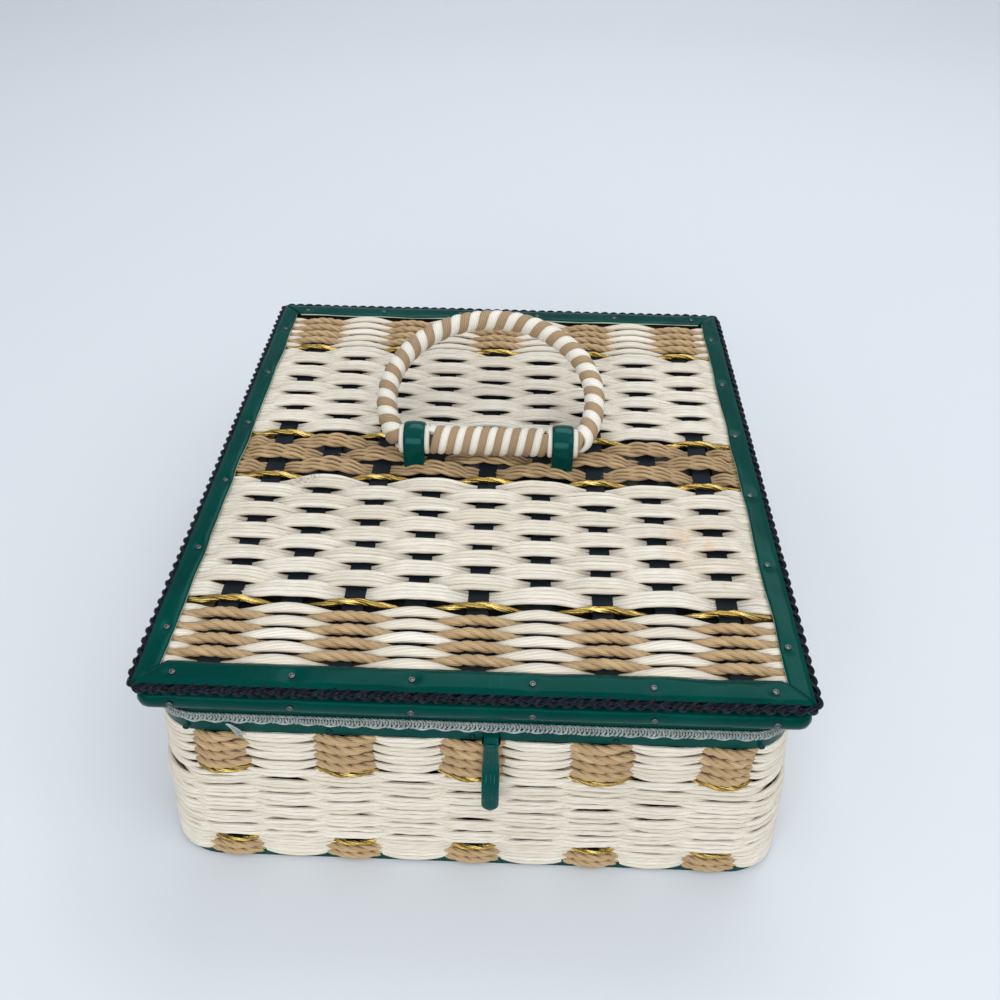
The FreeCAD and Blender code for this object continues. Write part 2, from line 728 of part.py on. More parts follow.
# Hinges: strips rolled round wire pins, one on the base between two on the lid
hinge_parts = {"base": [], "lid": []}
hinge_tacks = {"base": [], "lid": []}
hinge_pins = []
side_place = "(knuckle_width / 2 + side_gap + knuckle_side_width / 2)"
for side, way in (("left", "0 - "), ("right", "")):
    middle = f"({way}hinge_place)"
    for owner, name, centre, width in (("base", "middle", middle, "knuckle_width"),
                                       ("lid", "inner", f"({middle} - {side_place})", "knuckle_side_width"),
                                       ("lid", "outer", f"({middle} + {side_place})", "knuckle_side_width")):
        start = f"{centre} - {width} / 2"
        end = f"{centre} + {width} / 2"
        if owner == "base":
            face = "gimp_y + fit_gap"
            web_low, web_high = "hinge_z - knuckle_radius", "hinge_z - knuckle_radius + hinge_leaf"
            leg_low, leg_high = "hinge_z - knuckle_radius - hinge_leg", web_high
        else:
            face = "side_band_y + fit_gap"
            web_low, web_high = "hinge_z + knuckle_radius - hinge_leaf", "hinge_z + knuckle_radius"
            leg_low, leg_high = web_low, "lid_bottom + side_band_height - side_gap"
        label = f"hinge_{side}_{owner}_{name}"
        roll = cylinder(f"{label}_roll", "knuckle_radius", width, ALONG_X, (start, "hinge_y", "hinge_z"))
        leg = box(f"{label}_leg", (start, face, leg_low), (end, f"{face} + hinge_leaf", leg_high))
        web = box(f"{label}_web", (start, face, web_low), (end, "hinge_y", web_high))
        bore = cylinder(f"{label}_bore", "pin_radius + running_gap", f"{width} + 2 * overrun", ALONG_X,
                        (f"{start} - overrun", "hinge_y", "hinge_z"))
        hinge_parts[owner].append(cut(label, join(f"{label}_blank", [roll, leg, web]), bore))
        tack_place = Vector(number_of(centre), number_of(f"{face} + hinge_leaf"),
                            number_of(f"(({leg_low}) + ({leg_high})) / 2"))
        hinge_tacks[owner].append((tack_place, Vector(0, 1, 0)))
    pin_half = "(knuckle_width / 2 + side_gap + knuckle_side_width + side_gap)"
    pin = cylinder(f"hinge_{side}_pin", "pin_radius", f"2 * {pin_half}", ALONG_X,
                   (f"{middle} - {pin_half}", "hinge_y", "hinge_z"))
    heads = []
    for end, start in (("first", f"{middle} - {pin_half} - pin_head"), ("last", f"{middle} + {pin_half}")):
        heads.append(cylinder(f"hinge_{side}_{end}_head", "pin_radius + pin_head_reach", "pin_head", ALONG_X,
                              (start, "hinge_y", "hinge_z")))
    hinge_pins.append(join(f"hinge_{side}_headed_pin", [pin, *heads]))
hinge_base_straps = group("hinge_base_straps", hinge_parts["base"])
hinge_lid_straps = group("hinge_lid_straps", hinge_parts["lid"])
hinge_pin_group = group("hinge_pins", hinge_pins)
hinge_base_tacks = tack_group("hinge_base_tacks", hinge_tacks["base"])
hinge_lid_tacks = tack_group("hinge_lid_tacks", hinge_tacks["lid"])

# Pull loop: a vinyl strip doubled round a wire staple in the rim, hanging down the front
staple_bar = cylinder("staple_bar", "staple_radius", "2 * (staple_half_span + staple_radius)", ALONG_X,
                      ("loop_place - staple_half_span - staple_radius", "loop_y", "loop_z"))
staple_legs = []
for side, way in (("left", "-"), ("right", "+")):
    staple_legs.append(cylinder(f"staple_leg_{side}", "staple_radius", "hoop_thickness / 2 - hoop_y - loop_y",
                                Vector(0, 1, 0), (f"loop_place {way} staple_half_span", "loop_y", "loop_z")))
pull_staple = join("pull_staple", [staple_bar, *staple_legs])
loop_strip = new_body("loop_strip")
loop_front = new_sketch(loop_strip, "front", role="XZ_Plane")
loop_end = "(loop_length - loop_width / 2)"
loop_shoulder = f"0 - {LOOP_NECK_SHARE} * loop_length"
draw_polygon(loop_front, [("0 - loop_neck / 2", "0"), ("0 - loop_width / 2", loop_shoulder),
                          ("0 - loop_width / 2", f"0 - {loop_end}"), ("loop_width / 2", f"0 - {loop_end}"),
                          ("loop_width / 2", loop_shoulder), ("loop_neck / 2", "0")])
loop_pad = pad(loop_strip, loop_front, "loop_thickness")
loop_pad.Midplane = True
loop_tip = cylinder("loop_tip", "loop_width / 2", "loop_thickness", Vector(0, 1, 0),
                    ("0", "0 - loop_thickness / 2", f"0 - {loop_end}"))
loop_eye = cylinder("loop_eye", "eye_radius", "loop_neck", ALONG_X, ("0 - loop_neck / 2", "0", "0"))
loop_blank = join("loop_blank", [loop_strip, loop_tip, loop_eye])
loop_bore = cylinder("loop_bore", "staple_radius + running_gap", "loop_neck + 2 * overrun", ALONG_X,
                     ("0 - loop_neck / 2 - overrun", "0", "0"))
loop_slit = box("loop_slit", ("0 - loop_slit / 2", "0 - loop_thickness", f"0 - {loop_end}"),
                ("loop_slit / 2", "loop_thickness", "0 - 2 * eye_radius"))
pull_loop = cut("pull_loop", loop_blank, join("loop_openings", [loop_bore, loop_slit]))
pull_loop.Placement = Placement(Vector(), Rotation(Vector(1, 0, 0), -1))
bind(pull_loop, {"Placement.Base.x": "loop_place"})
bind(pull_loop, {"Placement.Base.y": "loop_y", "Placement.Base.z": "loop_z"})
bind(pull_loop, {"Placement.Rotation.Angle": "-atan(flare_rate)"})
doc.recompute()

# Handle: a bent wire ring with a sleeve on its straight side, collars at its bends and two colours wound on


def bow_angle():
    """Where the round bow meets the bend, as an angle about the bow's middle."""
    return math.atan2(size("bend_radius") - size("bow_offset"), size("bend_x"))


def on_circle(centre, radius, angle):
    return centre + Vector(radius * math.cos(angle), radius * math.sin(angle), 0)


def arc_between(centre, radius, start, end):
    points = [on_circle(centre, radius, start + share * (end - start)) for share in (0, 0.5, 1)]
    return Part.Arc(*points).toShape()


def ring_edges():
    """The handle's middle line: a straight grip, two bends and the bow."""
    meet = bow_angle()
    bow_middle = Vector(0, size("bow_offset"), 0)
    right = Vector(size("bend_x"), size("bend_radius"), 0)
    left = Vector(-size("bend_x"), size("bend_radius"), 0)
    straight = Part.LineSegment(Vector(-size("bend_x"), 0, 0), Vector(size("bend_x"), 0, 0)).toShape()
    first = arc_between(right, size("bend_radius"), -math.pi / 2, meet)
    bow = arc_between(bow_middle, size("bow_radius"), meet, math.pi - meet)
    last = arc_between(left, size("bend_radius"), math.pi - meet, 1.5 * math.pi)
    return straight, first, bow, last


def tube_along(edges, radius):
    path = Part.Wire(edges)
    start = edges[0].valueAt(edges[0].FirstParameter)
    heading = edges[0].tangentAt(edges[0].FirstParameter)
    section = Part.Wire([Part.Circle(start, heading, radius).toShape()])
    return path.makePipeShell([section], True, False)


def on_bow(share):
    """A point of the bow's middle line with its outward and upward directions."""
    margin = size("strand_diameter") / size("bow_radius")
    meet = bow_angle() + margin
    angle = meet + share * (math.pi - 2 * meet)
    outward = Vector(math.cos(angle), math.sin(angle), 0)
    return Vector(0, size("bow_offset"), 0) + outward * size("bow_radius"), outward


def on_grip(share):
    """A point of the grip's middle line with its outward direction."""
    reach = size("grip_half_length") - size("strand_diameter")
    return Vector((2 * share - 1) * reach, 0, 0), Vector(0, -1, 0)


def wound_point(line, radius, turns, phase, share):
    middle, outward = line(share)
    angle = 2 * math.pi * turns * share + phase
    return middle + outward * (radius * math.cos(angle)) + Vector(0, 0, radius * math.sin(angle))


def wound_heading(line, radius, turns, phase, share):
    step = 1.0 / (turns * GAP_SAMPLES_PER_TURN * GAP_SAMPLES_PER_TURN)
    ahead = wound_point(line, radius, turns, phase, share + step)
    behind = wound_point(line, radius, turns, phase, share - step)
    return (ahead - behind).normalize()


def arc_from(start, heading, end):
    """The arc that leaves a point along a heading and ends at another point."""
    chord = end - start
    along = Vector(chord).normalize()
    side = heading - along * heading.dot(along)
    half_turn = heading.getAngle(chord)
    middle = start + chord * 0.5 + side.normalize() * (chord.Length / 2 * math.tan(half_turn / 2))
    return Part.Arc(start, middle, end).toShape()


def biarc(start, start_heading, end, end_heading):
    """Two arcs that join two points and keep the heading at each."""
    chord = end - start
    headings = start_heading + end_heading
    spread_term = 2 * (1 - start_heading.dot(end_heading))
    reach = chord.dot(headings)
    length = (math.sqrt(reach * reach + spread_term * chord.dot(chord)) - reach) / spread_term
    meet = (start + start_heading * length + end - end_heading * length) * 0.5
    return [arc_from(start, start_heading, meet), arc_from(end, end_heading * -1, meet)]


def winding(label, line, radius, turns, phase):
    """One strand wound round a line, its ends straight for one diameter."""
    steps = turns * STEPS_PER_TURN
    knots = [wound_point(line, radius, turns, phase, step / steps) for step in range(steps + 1)]
    headings = [wound_heading(line, radius, turns, phase, step / steps) for step in range(steps + 1)]
    diameter = size("strand_diameter")
    first = knots[0] - headings[0] * diameter
    last = knots[-1] + headings[-1] * diameter
    edges = [Part.LineSegment(first, knots[0]).toShape()]
    for step in range(steps):
        edges.extend(biarc(knots[step], headings[step], knots[step + 1], headings[step + 1]))
    edges.append(Part.LineSegment(knots[-1], last).toShape())
    path = Part.Wire(edges)
    section = Part.Wire([Part.Circle(first, headings[0], diameter / 2).toShape()])
    tube = path.makePipeShell([section], True, False)
    samples = [wound_point(line, radius, turns, phase, sample / (turns * GAP_SAMPLES_PER_TURN))
               for sample in range(turns * GAP_SAMPLES_PER_TURN + 1)]
    half = GAP_SAMPLES_PER_TURN // 2
    least = min(samples[index].distanceToPoint(other) for index in range(len(samples))
                for other in samples[index + half:index + 2 * GAP_SAMPLES_PER_TURN])
    share = tube.Volume / (path.Length * math.pi * diameter * diameter / 4)
    print(f"{label}: least gap to itself {least - diameter:.2f} mm, volume over swept volume {share:.4f}")
    return tube


def handle_feature(label, shape):
    """Tilts a handle piece to its rest and sets it on the lid."""
    item = shape_feature(label, shape)
    item.Placement = Placement(Vector(), Rotation(ALONG_X, 1))
    bind(item, {"Placement.Base.z": "handle_z", "Placement.Rotation.Angle": "handle_tilt * 1 deg"})
    return item


straight_edge, first_bend, bow_edge, last_bend = ring_edges()
ring_line = [straight_edge, first_bend, bow_edge, last_bend]
core = tube_along(ring_line, size("core_radius"))
core_room = tube_along(ring_line, size("core_radius") + size("running_gap"))
grip_end = size("grip_half_length") + size("fit_gap")
collars = []
for bend, way in ((first_bend, 1), (last_bend, -1)):
    sleeve = Part.makeCylinder(size("grip_radius"), size("bend_x") - grip_end,
                               Vector(way * grip_end, 0, 0), Vector(way, 0, 0))
    collars.append(tube_along([bend], size("bow_tube_radius")).fuse(sleeve).cut(core_room))
grip_tube = Part.makeCylinder(size("sleeve_radius"), 2 * size("grip_half_length"),
                              Vector(-size("grip_half_length"), 0, 0), ALONG_X)
handle_parts = [
    handle_feature("handle_core", core),
    handle_feature("handle_collars", Part.makeCompound(collars)),
    handle_feature("grip_sleeve", grip_tube.cut(core_room)),
]
for place, line, radius, turns in (("grip", on_grip, "grip_wrap_radius", GRIP_TURNS),
                                   ("bow", on_bow, "wrap_radius", BOW_TURNS)):
    for colour, phase in (("tan", 0), ("cream", math.pi)):
        label = f"{place}_wrap_{colour}"
        handle_parts.append(handle_feature(label, winding(label, line, size(radius), turns, phase)))

# Every object has to be whole before anything is written
doc.recompute()
nodes = [board, wall_stakes, *wall_courses, rim_hoop, rim_band, rim_gimp, rim_tacks, *lining, bottom_pad,
         *rails, lid_stakes, *lid_courses, *bindings, edge_cord, side_band, lid_top_tacks, lid_side_tacks,
         lid_backing_board, lid_pad, *handle_straps, hinge_base_straps, hinge_lid_straps, hinge_pin_group,
         hinge_base_tacks, hinge_lid_tacks, pull_staple, pull_loop, *handle_parts]
for item in doc.Objects:
    if "Invalid" in item.State or "Error" in item.State:
        raise RuntimeError(f"{item.Label} failed: {item.State}")
for node in nodes:
    if node.Shape.isNull() or not node.Shape.isValid():
        raise RuntimeError(f"{node.Label} has no valid shape")
os.makedirs("parts", exist_ok=True)
for node in nodes:
    node.Shape.exportStep(f"parts/{node.Label}.step")
print(f"{len(nodes)} nodes written")
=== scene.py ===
import bmesh
import bpy
import math
from mathutils import Matrix, Vector, noise


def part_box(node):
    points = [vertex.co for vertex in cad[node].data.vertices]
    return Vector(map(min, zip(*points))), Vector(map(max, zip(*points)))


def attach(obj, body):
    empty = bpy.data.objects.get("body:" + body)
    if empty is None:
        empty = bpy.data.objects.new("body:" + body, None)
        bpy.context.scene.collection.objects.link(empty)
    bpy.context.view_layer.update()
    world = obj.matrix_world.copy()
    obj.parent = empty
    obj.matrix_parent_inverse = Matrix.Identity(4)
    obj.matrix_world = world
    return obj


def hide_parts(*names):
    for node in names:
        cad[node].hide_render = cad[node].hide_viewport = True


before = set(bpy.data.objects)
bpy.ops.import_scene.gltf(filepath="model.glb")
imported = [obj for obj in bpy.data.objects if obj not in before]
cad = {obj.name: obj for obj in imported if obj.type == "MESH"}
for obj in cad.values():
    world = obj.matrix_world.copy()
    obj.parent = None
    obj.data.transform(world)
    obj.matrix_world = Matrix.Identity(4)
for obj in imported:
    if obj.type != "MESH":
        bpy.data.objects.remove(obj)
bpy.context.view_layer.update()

# Bottom board: hardboard covered in glossy green vinyl with a fine pressed grain.
# The woven wall stands on it, and its edge shows below the lowest cords.


class Term:
    """A number in a node tree, so that a sum of nodes reads as a sum."""

    def __init__(self, tree, socket):
        self.tree = tree
        self.socket = socket

    def reckon(self, operation, *others):
        node = self.tree.nodes.new("ShaderNodeMath")
        node.operation = operation
        for socket, value in zip(node.inputs, (self, *others)):
            feed(self.tree, socket, value)
        return Term(self.tree, node.outputs[0])

    def __add__(self, other):
        return self.reckon("ADD", other)

    def __mul__(self, other):
        return self.reckon("MULTIPLY", other)

    def __sub__(self, other):
        return self.reckon("SUBTRACT", other)

    def __truediv__(self, other):
        return self.reckon("DIVIDE", other)

    def __rsub__(self, other):
        return self * -1.0 + other

    __radd__ = __add__
    __rmul__ = __mul__

    def sine(self):
        return self.reckon("SINE")

    def cosine(self):
        return self.reckon("COSINE")

    def floor(self):
        return self.reckon("FLOOR")

    def modulo(self, other):
        return self.reckon("MODULO", other)

    def power(self, other):
        return self.reckon("POWER", other)

    def clamped(self):
        return self.reckon("MAXIMUM", 0.0).reckon("MINIMUM", 1.0)


def feed(tree, socket, value):
    """Links a term or a socket to a socket, or sets it to a value."""
    if isinstance(value, Term):
        tree.links.new(value.socket, socket)
    elif isinstance(value, bpy.types.NodeSocket):
        tree.links.new(value, socket)
    else:
        socket.default_value = value


def place(tree, kind, inputs=(), **settings):
    """Adds a node with its settings and its inputs, each by name or number."""
    node = tree.nodes.new(kind)
    for name, value in settings.items():
        setattr(node, name, value)
    for key, value in dict(inputs).items():
        feed(tree, node.inputs[key], value)
    return node


def shader_group(name, inputs, outputs):
    tree = bpy.data.node_groups.new(name, "ShaderNodeTree")
    for label, kind, value in inputs:
        tree.interface.new_socket(label, in_out="INPUT", socket_type=kind).default_value = value
    for label, kind in outputs:
        tree.interface.new_socket(label, in_out="OUTPUT", socket_type=kind)
    return tree, tree.nodes.new("NodeGroupInput"), tree.nodes.new("NodeGroupOutput")


def blended(tree, share, first, second):
    """A colour between two colours."""
    node = place(tree, "ShaderNodeMix", {0: share, 6: first, 7: second}, data_type="RGBA")
    return node.outputs[2]


def finish_material(name, **constants):
    material = bpy.data.materials.new(name)
    material.use_nodes = True
    tree = material.node_tree
    shader = tree.nodes["Principled BSDF"]
    for label, value in constants.items():
        shader.inputs[label.replace("_", " ")].default_value = value
    return material, tree, shader


def cloudy(tree, scale, detail=2.0, spot=None):
    """Soft noise, read at a given place where there is one."""
    node = place(tree, "ShaderNodeTexNoise", {"Scale": scale, "Detail": detail})
    if spot is not None:
        feed(tree, node.inputs["Vector"], spot)
    return Term(tree, node.outputs[0])


def group_node(tree, group, **values):
    """A shader group in a material, with that material's own values."""
    node = place(tree, "ShaderNodeGroup", node_tree=group)
    for label, value in values.items():
        node.inputs[label.replace("_", " ")].default_value = value
    return node


def coat(tree, shader, colour, height, relief, depth, roughness=None):
    """Colour and relief of a surface, and its roughness where that varies."""
    bump = place(tree, "ShaderNodeBump", {"Strength": relief, "Distance": depth, "Height": height})
    feed(tree, shader.inputs["Base Color"], colour)
    feed(tree, shader.inputs["Normal"], bump.outputs[0])
    if roughness is not None:
        feed(tree, shader.inputs["Roughness"], roughness)


def grain_group():
    """Pressed grain, cloudy tone and fine scuffs of vinyl."""
    tree, start, end = shader_group(
        "vinyl grain",
        [("Light", "NodeSocketColor", (0.5, 0.5, 0.5, 1)), ("Dark", "NodeSocketColor", (0.4, 0.4, 0.4, 1)),
         ("Scuff", "NodeSocketColor", (0.6, 0.6, 0.6, 1)), ("Gloss", "NodeSocketFloat", 0.3)],
        [("Color", "NodeSocketColor"), ("Roughness", "NodeSocketFloat"), ("Height", "NodeSocketFloat")])
    spot = place(tree, "ShaderNodeTexCoord").outputs["Object"]
    cloud = cloudy(tree, 38.0, 4.0, spot)
    pebble = Term(tree, place(tree, "ShaderNodeTexVoronoi", {"Vector": spot, "Scale": 1150.0}).outputs["Distance"])
    fine = cloudy(tree, 700.0, 3.0, spot)
    stretch = place(tree, "ShaderNodeMapping", {
        "Vector": spot, "Scale": (900.0, 70.0, 260.0), "Rotation": (0.3, 0.2, 0.7)})
    scratch = cloudy(tree, 1.0, spot=stretch.outputs[0])
    scuffed = ((scratch - 0.66) * 6.0).clamped() * (cloud * 2.0 - 0.75).clamped()
    tone = blended(tree, (cloud * 2.2 - 0.6).clamped(), start.outputs["Dark"], start.outputs["Light"])
    feed(tree, end.inputs["Color"], blended(tree, scuffed * 0.55, tone, start.outputs["Scuff"]))
    feed(tree, end.inputs["Roughness"], Term(tree, start.outputs["Gloss"]) + scuffed * 0.22 + fine * 0.08 - 0.04)
    feed(tree, end.inputs["Height"], pebble * 0.7 + fine * 0.3)
    return tree


VINYL_GRAIN = grain_group()


def vinyl(name, light, dark, scuff, gloss, relief, shine, tint):
    material, tree, shader = finish_material(name, Specular_IOR_Level=shine, Specular_Tint=tint)
    grain = group_node(tree, VINYL_GRAIN, Light=light, Dark=dark, Scuff=scuff, Gloss=gloss)
    coat(tree, shader, grain.outputs["Color"], grain.outputs["Height"], relief, 0.0004, grain.outputs["Roughness"])
    return material


def dress(name, material):
    """Gives a CAD node its finish."""
    cad[name].data.materials.clear()
    cad[name].data.materials.append(material)


green_vinyl = vinyl("green vinyl", (0.0, 0.048, 0.039, 1), (0.0, 0.030, 0.026, 1), (0.02, 0.11, 0.09, 1), 0.17, 0.08,
                    0.15, (0.08, 0.70, 0.56, 1))
dress("bottom_board", green_vinyl)

# Wall uprights: flat dark strips of tightly woven fibre, which stand in the wall from the board to the rim.
# They show as small dark squares and slits where the cords part.

STRIP_THREAD = 0.0009


def strip_cloth(name, along, across):
    """Fine plain weave on a dark strip, with the threads along one axis and across another."""
    material, tree, shader = finish_material(name, Roughness=0.62, Specular_IOR_Level=0.12)
    spot = place(tree, "ShaderNodeSeparateXYZ", {0: place(tree, "ShaderNodeTexCoord").outputs["Object"]})
    one = (Term(tree, spot.outputs[along]) * (2 * math.pi / STRIP_THREAD)).sine()
    two = (Term(tree, spot.outputs[across]) * (2 * math.pi / STRIP_THREAD)).sine()
    threads = one * two * 0.5 + 0.5
    worn = cloudy(tree, 240.0, 3.0)
    colour = blended(tree, threads * 0.55 + worn * 0.35, (0.003, 0.005, 0.008, 1), (0.016, 0.024, 0.032, 1))
    coat(tree, shader, colour, threads, 0.5, 0.0003)
    return material


dress("wall_stakes", strip_cloth("upright strip", "Z", "X"))

# Wall courses: cream cords laid in and out of the uprights, a tan and cream checker at the top and the foot,
# and a twisted gold cord at each border. Each course closes on itself round the basket.

UPRIGHT_PITCH = 0.0254
RIM_TOP = 0.091
UPRIGHT_X, UPRIGHT_Y = 0.1228, 0.1408
LEAN = 5.5 / 73.2
FRONT_UPRIGHTS, SIDE_UPRIGHTS = 9, 10
TURN_RADIUS = 0.020
STRAIGHT = 0.01
POINTS_PER_UPRIGHT, FIELD_POINTS = 16, 11


def guide_line(name, points, closed=False):
    """A line of points, each with its place, way out, way up the stack, count of uprights and freedom to lift."""
    mesh = bpy.data.meshes.new(name)
    points = points + points[:1] if closed else points
    mesh.from_pydata([point[0] for point in points], [(index, index + 1) for index in range(len(points) - 1)], [])
    for label, column in (("outward", 1), ("stack", 2)):
        layer = mesh.attributes.new(label, "FLOAT_VECTOR", "POINT")
        layer.data.foreach_set("vector", [number for point in points for number in point[column]])
    mesh.attributes.new("count", "FLOAT", "POINT").data.foreach_set("value", [point[3] for point in points])
    freedom = [point[4] if len(point) > 4 else 1.0 for point in points]
    mesh.attributes.new("freedom", "FLOAT", "POINT").data.foreach_set("value", freedom)
    guide = bpy.data.objects.new(name, mesh)
    bpy.context.scene.collection.objects.link(guide)
    guide.hide_render = True
    return guide


def wall_guide(height, push, steps_per_upright):
    """The middle line of the uprights round the wall at one height, or a line a little outside it."""
    reach_x = UPRIGHT_X + LEAN * (RIM_TOP - height) + push
    reach_y = UPRIGHT_Y + LEAN * (RIM_TOP - height) + push
    sides = ((reach_x, reach_y, FRONT_UPRIGHTS), (reach_y, reach_x, SIDE_UPRIGHTS)) * 2
    knots = []
    for quarter, (run, across, uprights) in enumerate(sides):
        facing = Matrix.Rotation(quarter * math.pi / 2, 3, "Z")
        for upright in range(uprights):
            along = (upright - (uprights - 1) / 2) * UPRIGHT_PITCH
            knots.append((facing @ Vector((along, -across, 0)), facing @ Vector((0, -1, 0)), True))
        turn = Vector((run - TURN_RADIUS, -across + TURN_RADIUS, 0))
        for share in (0.0, 0.5, 1.0):
            angle = -math.pi / 2 + share * math.pi / 2
            out = Vector((math.cos(angle), math.sin(angle), 0))
            knots.append((facing @ (turn + out * TURN_RADIUS), facing @ out, share == 0.5))
    legs = list(zip(knots, knots[1:] + knots[:1]))
    bends = [first[1].angle(second[1]) for first, second in legs]
    lengths = [TURN_RADIUS * bend if bend >= STRAIGHT else (second[0] - first[0]).length
               for (first, second), bend in zip(legs, bends)]
    counts = []
    passed = 0
    for index, (_, _, upright) in enumerate(knots):
        if upright:
            counts.append(passed)
            passed += 1
        else:
            counts.append(counts[-1] + lengths[index - 1] / (lengths[index - 1] + lengths[index]))
    counts.append(passed)
    points = []
    for index, (first, second) in enumerate(legs):
        start, finish = counts[index:index + 2]
        steps = max(1, round((finish - start) * steps_per_upright))
        for step in range(steps):
            share = step / steps
            if bends[index] < STRAIGHT:
                spot = first[0].lerp(second[0], share)
                out = first[1]
            else:
                out = first[1].slerp(second[1], share)
                spot = first[0] + (out - first[1]) * TURN_RADIUS
            points.append((spot + Vector((0, 0, height)), out, Vector((0, 0, 1)), start + share * (finish - start)))
    back = len(points) // 2
    return guide_line("wall guide", points[back:] + points[:back], closed=True)


CORD_INPUTS = [("Guide", "NodeSocketObject", None), ("Cord", "NodeSocketMaterial", None)]
CORD_INPUTS += [(label, "NodeSocketInt", value) for label, value in (
    ("Rows", 1), ("Strands", 1), ("Plies", 1), ("Sides", 7), ("Seed", 1))]
CORD_INPUTS += [(label, "NodeSocketFloat", value) for label, value in (
    ("First", 0.0), ("Step", 1.0), ("Pitch", 0.004), ("Offset", 0.0), ("Lift", 0.0), ("Spread Over", 0.0),
    ("Spread Between", 0.0), ("Sharpness", 1.0), ("Width", 0.002), ("Thickness", 0.002), ("Taper", 1.0), ("Twist", 0.0),
    ("Twist Start", 0.0), ("Twist Radius", 0.0), ("Wound", 0.0), ("Plait Width", 0.0), ("Plait Height", 0.0),
    ("Curl", 0.0), ("Lean", 0.0), ("Unevenness", 0.0), ("Stagger", 0.0))]


